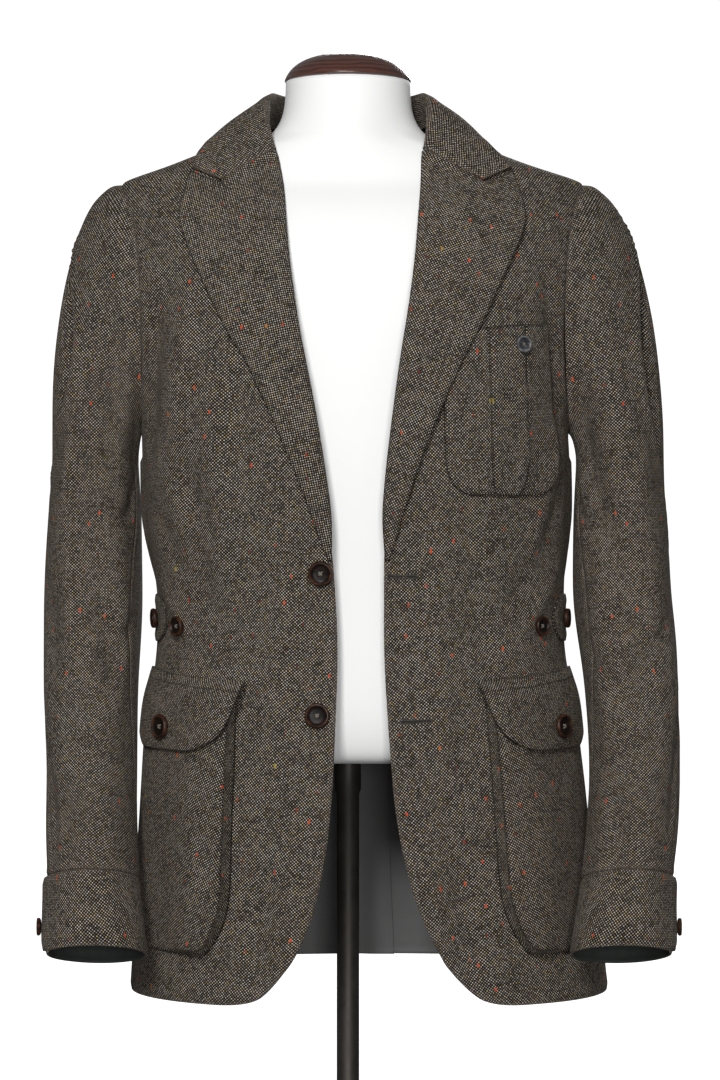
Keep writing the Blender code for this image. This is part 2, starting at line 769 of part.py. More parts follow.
def make_hip_pocket(name, side):
    cols = (0.0, 0.015, 0.12, 0.26, 0.42, 0.58, 0.74, 0.88, 1.0)
    ups = (HIP_LOW, HIP_LOW + 0.003, 0.058, 0.080, 0.110, 0.150, 0.190, 0.225, HIP_MOUTH)
    grid = []
    for r, up in enumerate(ups):
        line = []
        for c, share in enumerate(cols):
            degrees = hip_front(up) + share * (HIP_BACK - hip_front(up))
            fullness = hip_depth(degrees) * (1.0 if 0 < r else 0.0) * (1.0 if c > 0 else 0.0)
            mouth = 1.0 - 0.35 * max(0.0, (up - 0.19) / (HIP_MOUTH - 0.19))
            out = LIE + CLOTH / 2 + 0.0004 + fullness * mouth
            line.append(body_point(side * math.radians(degrees), up, out))
        grid.append(line if side > 0 else line[::-1])
    middle_wall(name, grid)


def flap_edges(t):
    front = FLAP_FRONT + (FLAP_FRONT_LOW - FLAP_FRONT) * t * t
    return front, FLAP_BACK - 1.5 * t


def flap_place(share, t):
    front, back = flap_edges(t)
    degrees = front + share * (back - front)
    top = FLAP_TOP_FRONT + share * (FLAP_TOP_BACK - FLAP_TOP_FRONT)
    round_off = 0.010 * (bump(share, 0.16) + bump(1 - share, 0.12)) * t * t
    return degrees, top + (FLAP_LOW - top) * t + round_off


def flap_out(degrees, up):
    over = min(max((0.277 - up) / 0.020, 0.0), 1.0)
    return LIE + 0.0004 + over * (hip_depth(max(degrees, HIP_FRONT + 1.0)) + CLOTH + LIE + 0.0008)


def make_flap(name, side):
    outer, inner = [], []
    for t in (0.0, 0.12, 0.28, 0.46, 0.64, 0.82, 1.0):
        line_out, line_in = [], []
        for share in (0.0, 0.05, 0.16, 0.30, 0.44, 0.58, 0.72, 0.86, 1.0):
            degrees, up = flap_place(share, t)
            out = flap_out(degrees, up)
            line_out.append(body_point(side * math.radians(degrees), up, out + CLOTH))
            line_in.append(body_point(side * math.radians(degrees), up, out))
        outer.append(line_out)
        inner.append(line_in)
    wall(name, outer, inner)


def make_belt():
    cols = 26
    rows = (-1.0, -0.45, 0.0, 0.45, 1.0)
    outer, inner = [], []
    for height in rows:
        line_out, line_in = [], []
        tip = 7.0 * height * height
        for c in range(cols + 1):
            share = c / cols
            low = BELT_FRONT + tip
            degrees = low + share * (360 - 2 * low)
            angle = math.radians(degrees)
            up = BELT_UP + height * BELT_HALF
            line_out.append(body_point(angle, up, LIE + CLOTH, folded=False))
            line_in.append(body_point(angle, up, LIE, folded=False))
        outer.append(line_out)
        inner.append(line_in)
    wall("half_belt", outer, inner)


def turned(name, profile, sides):
    # Closed turned solid about the upright axis: radius, height
    points, faces = [], []
    for radius, height in profile:
        for k in range(sides):
            turn = 2 * math.pi * k / sides
            points.append(Vector((radius * math.cos(turn), radius * math.sin(turn), height)))
    for layer in range(len(profile) - 1):
        low, high = layer * sides, (layer + 1) * sides
        for k in range(sides):
            n = (k + 1) % sides
            faces.append((low + k, low + n, high + n, high + k))
    faces.append(tuple(reversed(range(sides))))
    faces.append(tuple(range((len(profile) - 1) * sides, len(profile) * sides)))
    solid(name, points, faces)


def make_form():
    sides = 32
    loops = []
    low = FORM_UPS[0]
    centre = Vector((0, 0, 0))
    for up in FORM_UPS:
        inset = smooth_curve(FORM_INSETS, 1, up)
        loops.append([body_point(-math.pi + 2 * math.pi * k / sides, up, -inset, folded=False)
                      for k in range(sides)])
    for up, half_width, front, back in FORM_NECK:
        line = []
        for k in range(sides):
            turn = -math.pi + 2 * math.pi * k / sides
            depth = front if math.cos(turn) > 0 else back
            line.append(Vector((half_width * math.sin(turn), -depth * math.cos(turn), HEM_Z + up)))
        loops.append(line)
    for loop in loops:
        for point in loop:
            if point.y < 0:
                point.y -= smooth_curve(FORM_THROAT, 1, point.z - HEM_Z) * bump(point.x, THROAT_HALF)
    middle = sum(loops[0], centre) / sides
    rounded = [Vector((p.x - (p.x - middle.x) * 0.09, p.y - (p.y - middle.y) * 0.09,
                       HEM_Z + low - FORM_BOTTOM_ROUND * 0.7)) for p in loops[0]]
    flat = [Vector((p.x - (p.x - middle.x) * 0.22, p.y - (p.y - middle.y) * 0.22,
                    HEM_Z + low - FORM_BOTTOM_ROUND)) for p in loops[0]]
    loops = [flat, rounded] + loops
    points = [p for loop in loops for p in loop]
    faces = []
    for layer in range(len(loops) - 1):
        for k in range(sides):
            n = (k + 1) % sides
            faces.append((layer * sides + k, layer * sides + n, (layer + 1) * sides + n, (layer + 1) * sides + k))
    faces.append(tuple(range(sides)))
    faces.append(tuple(range((len(loops) - 1) * sides, len(loops) * sides)))
    solid("form_body", points, faces)


def make_stand():
    form_low = HEM_Z + FORM_UPS[0] - FORM_BOTTOM_ROUND
    turned("stand_base", ((BASE_RADIUS, 0.0), (BASE_RADIUS, BASE_THICK * 0.6), (BASE_RADIUS - 0.006, BASE_THICK)), 40)
    turned("stand_pole", ((POLE_RADIUS, BASE_THICK + SEAM), (POLE_RADIUS, form_low - SEAM)), 20)
    rise = CAP_HIGH - CAP_LOW
    profile = []
    for radius, height in ((0.97, 0.0), (1.0, 0.06), (0.99, 0.16), (0.90, 0.48), (0.72, 0.76), (0.45, 0.94),
                           (0.15, 1.0)):
        profile.append((CAP_RADIUS * radius, HEM_Z + CAP_LOW + rise * height))
    turned("neck_cap", profile, 28)
    bpy.data.objects["neck_cap"].data.transform(Matrix.Translation((0.0, 0.004, 0.0)))


def make_buttons():
    proud = 0.0004
    for name, up, x in (("front_button_upper", 0.363, 0.032), ("front_button_lower", 0.244, 0.037)):
        button_on(name, angle_at_x(-x, up), up, proud, BUTTON_BIG)
    button_on("chest_button", angle_at_x(0.141, 0.556), 0.556, LIE + CLOTH + PLEAT_RISE + LIE, BUTTON_SMALL, 0.0032)
    for side, word in ((1, "left"), (-1, "right")):
        degrees, up = flap_place(0.54, 0.70)
        angle = side * math.radians(degrees)
        button_on("flap_button_" + word, angle, up, flap_out(degrees, up) + CLOTH + LIE + 0.0006, BUTTON_BIG)
        button_on("belt_button_" + word, side * math.radians(77), BELT_UP, LIE + CLOTH + LIE, 0.0085)
        button_on("spare_button_" + word, side * math.radians(57), BELT_UP - 0.006, LIE / 2, 0.0085)
        cuff_button("cuff_button_" + word, side)


def cuff_button(name, side):
    turn = math.radians(CUFF_START + CUFF_LAP - 6)
    up = 0.066
    right_x, left_x, y, half_width, half_depth, tilt = [smooth_curve(SLEEVE_RINGS, c, up) for c in range(1, 7)]
    centre_x = left_x if side > 0 else right_x
    out = CLOTH + 2.5 * LIE
    place = sleeve_at(side, up, turn, centre_x, y, half_width, half_depth, tilt, out)
    ahead = sleeve_at(side, up, turn + 0.1, centre_x, y, half_width, half_depth, tilt, out)
    behind = sleeve_at(side, up, turn - 0.1, centre_x, y, half_width, half_depth, tilt, out)
    higher = sleeve_at(side, up + 0.01, turn, centre_x, y, half_width, half_depth, tilt, out)
    axis = (ahead - behind).cross(higher - place)
    if axis.x * side < 0:
        axis = -axis
    button(name, place, axis, 0.0075, 0.0034)


clear_scene()
for side, word in ((1, "left"), (-1, "right")):
    make_front("front_" + word, side)
    make_back("back_" + word, side)
    make_lapel("lapel_" + word, side)
    make_sleeve(side, "sleeve_upper_" + word, "sleeve_under_" + word)
    make_cuff("cuff_" + word, side)
    make_hip_pocket("hip_pocket_" + word, side)
    make_flap("pocket_flap_" + word, side)
make_collar()
make_chest_pocket()
make_belt()
make_buttons()
make_form()
make_stand()
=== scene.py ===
import json
import math
import bmesh
import bpy
import numpy as np
from mathutils import Matrix, Vector
from mathutils.bvhtree import BVHTree
from mathutils.kdtree import KDTree

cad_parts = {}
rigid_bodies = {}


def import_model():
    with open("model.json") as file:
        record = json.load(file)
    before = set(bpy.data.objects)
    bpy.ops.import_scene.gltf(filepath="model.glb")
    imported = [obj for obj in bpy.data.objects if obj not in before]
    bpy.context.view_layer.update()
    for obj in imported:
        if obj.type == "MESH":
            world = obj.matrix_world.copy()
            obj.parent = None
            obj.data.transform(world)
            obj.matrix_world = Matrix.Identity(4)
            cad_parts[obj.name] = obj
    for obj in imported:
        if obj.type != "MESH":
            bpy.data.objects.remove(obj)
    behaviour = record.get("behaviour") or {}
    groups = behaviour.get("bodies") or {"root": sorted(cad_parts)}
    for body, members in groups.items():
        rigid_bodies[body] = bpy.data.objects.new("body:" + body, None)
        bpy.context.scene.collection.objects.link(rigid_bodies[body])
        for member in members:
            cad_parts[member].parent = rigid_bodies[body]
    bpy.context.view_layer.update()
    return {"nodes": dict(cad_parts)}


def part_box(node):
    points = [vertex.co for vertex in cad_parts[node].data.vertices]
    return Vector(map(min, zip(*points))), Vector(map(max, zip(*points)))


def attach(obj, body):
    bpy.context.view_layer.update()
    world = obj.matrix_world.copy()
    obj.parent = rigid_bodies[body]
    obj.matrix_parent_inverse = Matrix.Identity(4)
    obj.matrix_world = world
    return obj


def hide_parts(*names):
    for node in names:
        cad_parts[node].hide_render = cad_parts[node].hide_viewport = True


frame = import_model()
nodes = frame["nodes"]
scene = bpy.context.scene
print("frame loaded,", len(nodes), "nodes")

# where the picture was taken from, in metres, and the size of one of its pixels on the object
viewpoint = {
    "across": 0.0106,
    "distance": 2.6,
    "height": 0.531,
    "pixel": 0.00088,
    "tall": 1080,
    "sensor": 36.0,
}

studio = {
    "skyStrength": 0.17,
    "floorTone": 0.30,
    "floorGlow": 1.00,
    "backdropGlow": 1.00,
    "reach": 9.0,
    "aimHeight": 0.55,
    "lamps": (
        # name, place, size, watts
        ("frontLeftLamp", (-0.55, -3.0, 1.90), 0.6, 84.0),
        ("frontRightLamp", (0.32, -3.1, 0.48), 0.6, 34.0),
        ("backLamp", (0.5, 2.6, 1.7), 1.2, 62.0),
    ),
}


def addCamera():
    lens = bpy.data.cameras.new("photoCamera")
    lens.sensor_width = viewpoint["sensor"]
    lens.lens = lens.sensor_width * viewpoint["distance"] / (viewpoint["pixel"] * viewpoint["tall"])
    camera = bpy.data.objects.new("photoCamera", lens)
    camera.location = (viewpoint["across"], -viewpoint["distance"], viewpoint["height"])
    camera.rotation_euler = (math.pi / 2, 0.0, 0.0)
    scene.collection.objects.link(camera)
    scene.camera = camera


def addStudio():
    sky = bpy.data.worlds.new("studioSky")
    sky.use_nodes = True
    sky.node_tree.nodes["Background"].inputs["Color"].default_value = (1.0, 1.0, 1.0, 1.0)
    sky.node_tree.nodes["Background"].inputs["Strength"].default_value = studio["skyStrength"]
    scene.world = sky
    for name, place, size, watts in studio["lamps"]:
        lamp = bpy.data.lights.new(name, "AREA")
        lamp.size = size
        lamp.energy = watts
        holder = bpy.data.objects.new(name, lamp)
        holder.location = place
        aim = Vector((0.0, 0.0, studio["aimHeight"])) - Vector(place)
        holder.rotation_euler = aim.to_track_quat("-Z", "Y").to_euler()
        scene.collection.objects.link(holder)
    reach = studio["reach"]
    square = ((-1, -1), (1, -1), (1, 1), (-1, 1))
    corners = [(x * reach, y * reach, z * reach) for z in (0, 1) for x, y in square]
    walls = [(k, (k + 1) % 4, (k + 1) % 4 + 4, k + 4) for k in range(4)]
    addStage("studioFloor", corners[:4], [(0, 1, 2, 3)], paleSurface("paleFloor", studio["floorGlow"]))
    addStage("studioBackdrop", corners, walls, paleSurface("paleBackdrop", studio["backdropGlow"]))


def addStage(name, corners, faces, material):
    mesh = bpy.data.meshes.new(name)
    mesh.from_pydata(corners, [], faces)
    mesh.materials.append(material)
    surface = bpy.data.objects.new(name, mesh)
    scene.collection.objects.link(surface)
    surface.visible_diffuse = False  # bright to look at, but it sends no light onto the cloth
    surface.visible_glossy = False


# small helpers for node materials
def newMaterial(name):
    material = bpy.data.materials.new(name)
    material.use_nodes = True
    return material, material.node_tree


def finished(material, values):
    fillSockets(material.node_tree, material.node_tree.nodes["Principled BSDF"], values)
    return material


def addNode(tree, kind, settings=None, values=None):
    node = tree.nodes.new(kind)
    for key, value in (settings or {}).items():
        setattr(node, key, value)
    fillSockets(tree, node, values or {})
    return node


def fillSockets(tree, node, values):
    # a number or tuple is set on its socket, and another node's output is linked to it
    for key, value in values.items():
        if isinstance(value, (int, float, tuple)):
            node.inputs[key].default_value = value
        else:
            tree.links.new(value, node.inputs[key])


def mathNode(tree, operation, *values):
    return addNode(tree, "ShaderNodeMath", {"operation": operation}, dict(enumerate(values))).outputs[0]


def vectorNode(tree, operation, *values):
    return addNode(tree, "ShaderNodeVectorMath", {"operation": operation}, dict(enumerate(values))).outputs[0]


def mixColour(tree, factor, first, second):
    first, second = ((*c, 1.0) if isinstance(c, tuple) else c for c in (first, second))
    return addNode(tree, "ShaderNodeMix", {"data_type": "RGBA"}, {0: factor, 6: first, 7: second}).outputs[2]


def rangeNode(tree, value, low, high, toLow=0.0, toHigh=1.0, kind="SMOOTHSTEP"):
    return addNode(tree, "ShaderNodeMapRange", {"interpolation_type": kind},
                   {0: value, 1: low, 2: high, 3: toLow, 4: toHigh}).outputs[0]


def noiseNode(tree, place, scale, detail=2.0, roughness=0.5, output="Fac"):
    values = {"Vector": place, "Scale": scale, "Detail": detail, "Roughness": roughness}
    return addNode(tree, "ShaderNodeTexNoise", {}, values).outputs[output]


def diagonalRibs(tree, place, scale, distortion):
    return addNode(tree, "ShaderNodeTexWave", {"bands_direction": "DIAGONAL"},
                   {"Vector": place, "Scale": scale, "Distortion": distortion}).outputs["Fac"]


def mappingNode(tree, place, scale, turn=0.0):
    return addNode(tree, "ShaderNodeMapping", {},
                   {"Vector": place, "Scale": scale, "Rotation": (0.0, 0.0, turn)}).outputs[0]


def bumpNode(tree, height, strength, distance):
    return addNode(tree, "ShaderNodeBump", {},
                   {"Height": height, "Strength": strength, "Distance": distance}).outputs[0]


def objectPlace(tree):
    return addNode(tree, "ShaderNodeTexCoord").outputs["Object"]


def weavePlace(tree):
    return addNode(tree, "ShaderNodeUVMap", {"uv_map": "weave"}).outputs[0]


def attributeNode(tree, name):
    return addNode(tree, "ShaderNodeAttribute", {"attribute_name": name}).outputs["Fac"]


def colourParts(tree, colour):
    return addNode(tree, "ShaderNodeSeparateColor", {}, {0: colour}).outputs


def paleSurface(name, glow):
    material, tree = newMaterial(name)
    tone = studio["floorTone"]
    cloud = noiseNode(tree, objectPlace(tree), 1.5)
    return finished(material, {
        "Base Color": mixColour(tree, cloud, (tone, tone, tone), (tone * 0.99, tone * 0.99, tone * 0.985)),
        "Roughness": 0.9,
        "Emission Color": (1.0, 1.0, 1.0, 1.0),
        "Emission Strength": glow,
    })


scene.view_settings.view_transform = "Standard"
addCamera()
addStudio()
print("camera and studio placed")

# woollen cloth: a two-colour birdseye with coloured flecks; each scale is cells for a metre
tweedLook = {
    "repeat": 0.0027,
    "darkYarn": (0.0045, 0.0038, 0.0032),
    "brownYarn": (0.0165, 0.0112, 0.0085),
    "brownScale": 95.0,
    "creamYarn": (0.450, 0.402, 0.345),
    "goldYarn": (0.450, 0.337, 0.148),
    "goldFrom": 0.62,
    "goldMost": 0.85,
    "dotEdge": (0.05, 1.70),
    "dotTones": (0.30, 1.20),
    "wander": 0.34,
    "wanderScale": 260.0,
    "patchSwing": 0.12,
    "patchScale": 42.0,
    "fleckScale": 66.0,
    "fleckColours": ((0.0, (0.050, 0.012, 0.008)), (0.45, (0.15, 0.022, 0.012)), (0.70, (0.48, 0.056, 0.019)),
                     (0.93, (0.44, 0.075, 0.022)), (0.96, (0.28, 0.22, 0.04))),
    "fleckShare": 0.33,
    "fleckSizes": (0.030, 0.078),
    "fleckCover": 0.86,
    "fleckStretch": 0.55,
    "fleckSlant": 37.0,
    "fray": 0.0022,
    "frayScale": 640.0,
    # edge colour: rubbed wear at cut edges, and a painted highlight along each sleeve's outer fold
    "edgeWearAndHighlight": (0.130, 0.102, 0.084),
    "edgeWearAndHighlightCover": 0.30,
    # strength of the painted shade in crevices and in the sleeve fold's hollow
    "paintedShadeCover": 0.75,
    "stitchCover": 0.55,
    "stitchEdge": (0.0002, 0.0011),
    "stitchDepth": 1.6,
    "dotHeight": 0.22,
    "napScale": 1400.0,
    "sheen": 0.05,
}


def tweedYarn(tree, weave, turn):
    # slanting rows of pale dots on a dark ground, each dot in its own tone
    look = tweedLook
    scale = math.sqrt(2.0) / look["repeat"]
    lattice = mappingNode(tree, weave, (scale, scale, 1.0), math.radians(45.0 + turn))
    swing = look["wander"]
    wander = noiseNode(tree, weave, look["wanderScale"], 1.0, output="Color")
    shift = vectorNode(tree, "MULTIPLY_ADD", wander, (swing, swing, 0.0), (-swing / 2, -swing / 2, 0.0))
    moved = vectorNode(tree, "ADD", lattice, shift)
    parts = addNode(tree, "ShaderNodeSeparateXYZ", {}, {0: moved}).outputs
    rows = [mathNode(tree, "COSINE", mathNode(tree, "MULTIPLY", parts[k], 2 * math.pi)) for k in (0, 1)]
    wave = mathNode(tree, "ADD", *rows)
    dots = rangeNode(tree, wave, *look["dotEdge"])
    cell = vectorNode(tree, "FLOOR", vectorNode(tree, "ADD", moved, (0.5, 0.5, 0.0)))
    chance = addNode(tree, "ShaderNodeTexWhiteNoise", {"noise_dimensions": "2D"}, {"Vector": cell})
    chances = colourParts(tree, chance.outputs["Color"])
    gold = rangeNode(tree, chances[0], look["goldFrom"], 1.0, 0.0, look["goldMost"])
    light = mixColour(tree, gold, look["creamYarn"], look["goldYarn"])
    patches = noiseNode(tree, weave, look["patchScale"], 3.0, 0.6)
    strength = mathNode(tree, "ADD", rangeNode(tree, chances[1], 0.0, 1.0, *look["dotTones"], "LINEAR"),
                        rangeNode(tree, patches, 0.3, 0.7, -look["patchSwing"], look["patchSwing"]))
    brown = rangeNode(tree, noiseNode(tree, weave, look["brownScale"]), 0.35, 0.75)
    dark = mixColour(tree, brown, look["darkYarn"], look["brownYarn"])
    return mixColour(tree, mathNode(tree, "MULTIPLY", dots, strength), dark, light), wave


def tweedFlecks(tree, weave, turn, yarn):
    # scattered slubs, mostly orange-red and longer than wide
    look = tweedLook
    slant = math.radians(look["fleckSlant"] + turn)
    slanted = mappingNode(tree, weave, (1.0, look["fleckStretch"], 1.0), slant)
    uneven = noiseNode(tree, weave, look["frayScale"], 1.0, output="Color")
    frayed = vectorNode(tree, "MULTIPLY_ADD", uneven, (look["fray"], look["fray"], 0.0), slanted)
    slubs = addNode(tree, "ShaderNodeTexVoronoi", {"voronoi_dimensions": "2D"},
                    {"Vector": frayed, "Scale": look["fleckScale"], "Randomness": 1.0}).outputs
    picks = colourParts(tree, slubs["Color"])
    size = rangeNode(tree, picks[2], 0.0, 1.0, *look["fleckSizes"], "LINEAR")
    near = mathNode(tree, "LESS_THAN", slubs["Distance"], size)
    chosen = mathNode(tree, "LESS_THAN", picks[1], look["fleckShare"])
    cover = mathNode(tree, "MULTIPLY", mathNode(tree, "MULTIPLY", near, chosen), look["fleckCover"])
    ramp = addNode(tree, "ShaderNodeValToRGB", {}, {0: picks[2]})
    stops = ramp.color_ramp.elements
    while len(stops) < len(look["fleckColours"]):
        stops.new(0.5)
    for stop, (place, colour) in zip(stops, look["fleckColours"]):
        stop.position = place
        stop.color = (*colour, 1.0)
    return mixColour(tree, cover, yarn, ramp.outputs[0])


def tweed(name, turn=0.0):
    look = tweedLook
    material, tree = newMaterial(name)
    weave = weavePlace(tree)
    yarn, wave = tweedYarn(tree, weave, turn)
    # brushed, slightly paler edges with a painted highlight along each sleeve's outer fold, painted shade in
    # the crevices round laid-on pieces and in the fold's hollow, and a sunk row of stitches
    rim = attributeNode(tree, "rim")
    # pale: rubbed wear at cut edges, and a painted highlight along each sleeve's outer fold
    pale = mathNode(tree, "MULTIPLY", mathNode(tree, "MAXIMUM", rim, 0.0), look["edgeWearAndHighlightCover"])
    # painted shade in the crevices round laid-on pieces and in the sleeve fold's hollow
    paintedShadeMask = mathNode(tree, "MAXIMUM", mathNode(tree, "MULTIPLY", rim, -1.0), 0.0)
    paintedShade = mathNode(tree, "MULTIPLY", paintedShadeMask, look["paintedShadeCover"])
    groove = rangeNode(tree, attributeNode(tree, "stitch"), *look["stitchEdge"], 1.0, 0.0)
    colour = mixColour(tree, pale, tweedFlecks(tree, weave, turn, yarn), look["edgeWearAndHighlight"])
    colour = mixColour(tree, paintedShade, colour, look["darkYarn"])
    sunk = mathNode(tree, "MULTIPLY", groove, look["stitchCover"])
    colour = mixColour(tree, sunk, colour, look["darkYarn"])
    nap = noiseNode(tree, weave, look["napScale"], 2.0, 0.7)
    relief = mathNode(tree, "ADD", mathNode(tree, "MULTIPLY", wave, look["dotHeight"]), nap)
    relief = mathNode(tree, "SUBTRACT", relief, mathNode(tree, "MULTIPLY", groove, look["stitchDepth"]))
    return finished(material, {
        "Base Color": colour,
        "Normal": bumpNode(tree, relief, 0.45, 0.0007),
        "Roughness": rangeNode(tree, nap, 0.2, 0.8, 0.86, 0.98),
        "Specular IOR Level": 0.16,
        "Sheen Weight": look["sheen"],
        "Sheen Roughness": 0.42,
        "Sheen Tint": (0.62, 0.52, 0.42, 1.0),
    })


def plainCloth(name, dark, pale):
    material, tree = newMaterial(name)
    weave = weavePlace(tree)
    cloud = noiseNode(tree, weave, 60.0, 3.0)
    return finished(material, {
        "Base Color": mixColour(tree, cloud, dark, pale),
        "Normal": bumpNode(tree, diagonalRibs(tree, weave, 420.0, 0.6), 0.25, 0.0003),
        "Roughness": rangeNode(tree, cloud, 0.2, 0.8, 0.60, 0.74),
        "Specular IOR Level": 0.20,
    })


def hornShell(name, dark, pale, rough):
    material, tree = newMaterial(name)
    grain = mappingNode(tree, objectPlace(tree), (90.0, 90.0, 260.0), 0.4)
    streak = noiseNode(tree, grain, 1.0, 5.0, 0.62)
    return finished(material, {
        "Base Color": mixColour(tree, rangeNode(tree, streak, 0.42, 0.72), dark, pale),
        "Normal": bumpNode(tree, streak, 0.08, 0.0002),
        "Roughness": rangeNode(tree, streak, 0.2, 0.8, rough, rough + 0.12),
        "Specular IOR Level": 0.14,
    })


def threadYarn(name, colour):
    material, tree = newMaterial(name)
    twist = diagonalRibs(tree, objectPlace(tree), 900.0, 1.0)
    return finished(material, {
        "Base Color": mixColour(tree, twist, tuple(0.6 * c for c in colour), colour),
        "Normal": bumpNode(tree, twist, 0.4, 0.0002),
        "Roughness": 0.8,
    })


def formCover():
    material, tree = newMaterial("formCover")
    place = objectPlace(tree)
    cloud = noiseNode(tree, place, 9.0, 3.0)
    knit = noiseNode(tree, place, 1500.0, 2.0, 0.6)
    return finished(material, {
        "Base Color": mixColour(tree, cloud, (0.745, 0.745, 0.74), (0.80, 0.80, 0.795)),
        "Normal": bumpNode(tree, knit, 0.12, 0.0003),
        "Roughness": rangeNode(tree, cloud, 0.2, 0.8, 0.70, 0.80),
        "Sheen Weight": 0.1,
    })


def darkWood():
    material, tree = newMaterial("darkWood")
    place = objectPlace(tree)
    rings = addNode(tree, "ShaderNodeTexWave", {"wave_type": "RINGS", "rings_direction": "Y"},
                    {"Vector": mappingNode(tree, place, (1.0, 0.25, 3.0)), "Scale": 26.0, "Distortion": 5.0,
                     "Detail": 3.0, "Detail Scale": 2.0}).outputs["Fac"]
    fine = noiseNode(tree, mappingNode(tree, place, (60.0, 900.0, 900.0)), 1.0, 3.0)
    grain = mathNode(tree, "ADD", mathNode(tree, "MULTIPLY", rings, 0.6),
                     mathNode(tree, "MULTIPLY", fine, 0.4))
    return finished(material, {
        "Base Color": mixColour(tree, grain, (0.018, 0.0065, 0.005), (0.100, 0.036, 0.024)),
        "Normal": bumpNode(tree, fine, 0.04, 0.0002),
        "Roughness": rangeNode(tree, grain, 0.2, 0.8, 0.34, 0.24),
        "Coat Weight": 0.5,
        "Coat Roughness": 0.14,
    })


def darkSteel():
    material, tree = newMaterial("darkSteel")
    place = objectPlace(tree)
    wear = noiseNode(tree, place, 60.0, 4.0, 0.6)
    brushed = noiseNode(tree, mappingNode(tree, place, (300.0, 300.0, 20.0)), 1.0, 2.0)
    return finished(material, {
        "Base Color": mixColour(tree, wear, (0.030, 0.027, 0.024), (0.062, 0.056, 0.050)),
        "Normal": bumpNode(tree, brushed, 0.08, 0.0002),
        "Roughness": rangeNode(tree, wear, 0.3, 0.7, 0.46, 0.60),
        "Metallic": 0.75,
        "Specular IOR Level": 0.30,
    })


finishes = {
    "tweed": tweed("tweed"),
    "tweedLapel": tweed("tweedLapel", 24.0),
    "tweedCuff": tweed("tweedCuff", 5.0),
    "inside": plainCloth("clothInside", (0.098, 0.098, 0.097), (0.126, 0.126, 0.125)),
    "lining": plainCloth("sleeveLining", (0.026, 0.030, 0.028), (0.046, 0.053, 0.047)),
    "horn": hornShell("horn", (0.0045, 0.0033, 0.0028), (0.016, 0.008, 0.005), 0.34),
    "hornRim": hornShell("hornRim", (0.018, 0.008, 0.005), (0.070, 0.028, 0.014), 0.30),
    "greyHorn": hornShell("greyHorn", (0.019, 0.020, 0.022), (0.15, 0.15, 0.16), 0.32),
    "greyHornRim": hornShell("greyHornRim", (0.06, 0.06, 0.065), (0.24, 0.24, 0.25), 0.26),
    "thread": threadYarn("buttonThread", (0.165, 0.140, 0.115)),
    "edging": threadYarn("buttonholeThread", (0.050, 0.042, 0.033)),
    # near-black sheet for each buttonhole's slit: painted shade for the opening
    "slit": threadYarn("buttonholeSlitShade", (0.004, 0.0035, 0.003)),
    "formCover": formCover(),
    "darkWood": darkWood(),
    "darkSteel": darkSteel(),
}
print("finishes made,", len(finishes))

# soft creases on the body, seen as if unrolled: metres round from the front centre, height above
# the floor at each end, sideways bow, half width, and height of the ridge (or depth, below zero)
bodyCreases = (
    (-0.075, 0.735, -0.105, 0.545, 0.010, 0.013, -0.0022),
    (-0.130, 0.690, -0.118, 0.500, -0.008, 0.015, 0.0024),
    (-0.168, 0.765, -0.206, 0.590, 0.004, 0.014, -0.0036),
    (-0.145, 0.750, -0.160, 0.580, 0.000, 0.012, 0.0022),
    (-0.160, 0.620, -0.140, 0.470, -0.006, 0.011, -0.0022),
    (-0.190, 0.610, -0.095, 0.475, 0.006, 0.012, 0.0018),
    (-0.200, 0.560, -0.120, 0.455, 0.005, 0.009, -0.0016),
    (-0.215, 0.500, -0.150, 0.440, 0.002, 0.007, 0.0015),
    (-0.060, 0.520, -0.070, 0.330, 0.004, 0.012, 0.0016),
    (-0.045, 0.300, -0.062, 0.160, 0.004, 0.012, 0.0022),
    (-0.075, 0.260, -0.090, 0.150, -0.003, 0.010, -0.0018),
    (0.095, 0.560, 0.110, 0.480, 0.003, 0.011, -0.0014),
    (0.172, 0.770, 0.204, 0.600, -0.003, 0.012, -0.0030),
    (0.195, 0.640, 0.165, 0.490, 0.006, 0.012, 0.0022),
    (0.205, 0.580, 0.130, 0.465, -0.005, 0.010, -0.0018),
    (0.215, 0.520, 0.150, 0.450, -0.003, 0.008, 0.0016),
    (0.070, 0.510, 0.066, 0.330, -0.004, 0.012, 0.0018),
    (0.100, 0.480, 0.120, 0.430, 0.0, 0.010, -0.0014),
    (0.052, 0.320, 0.060, 0.160, -0.005, 0.012, 0.0022),
    (0.085, 0.270, 0.095, 0.150, 0.004, 0.011, -0.0018),
    (0.250, 0.640, 0.290, 0.480, 0.010, 0.014, 0.0024),
    (-0.250, 0.640, -0.290, 0.480, -0.010, 0.014, 0.0024),
    (0.330, 0.800, 0.345, 0.560, 0.008, 0.015, -0.0022),
    (-0.335, 0.790, -0.350, 0.550, -0.006, 0.014, -0.0022),
    (0.400, 0.600, 0.300, 0.490, 0.006, 0.011, 0.0017),
    (-0.405, 0.590, -0.310, 0.495, -0.004, 0.011, 0.0018),
    (0.440, 0.520, 0.360, 0.485, 0.003, 0.008, -0.0014),
    (-0.450, 0.515, -0.360, 0.490, -0.002, 0.008, -0.0013),
    (0.350, 0.440, 0.340, 0.240, 0.008, 0.015, 0.0026),
    (-0.345, 0.440, -0.350, 0.230, -0.006, 0.015, 0.0026),
    (0.420, 0.430, 0.440, 0.220, -0.004, 0.013, -0.0022),
    (-0.425, 0.430, -0.440, 0.210, 0.006, 0.013, -0.0022),
)
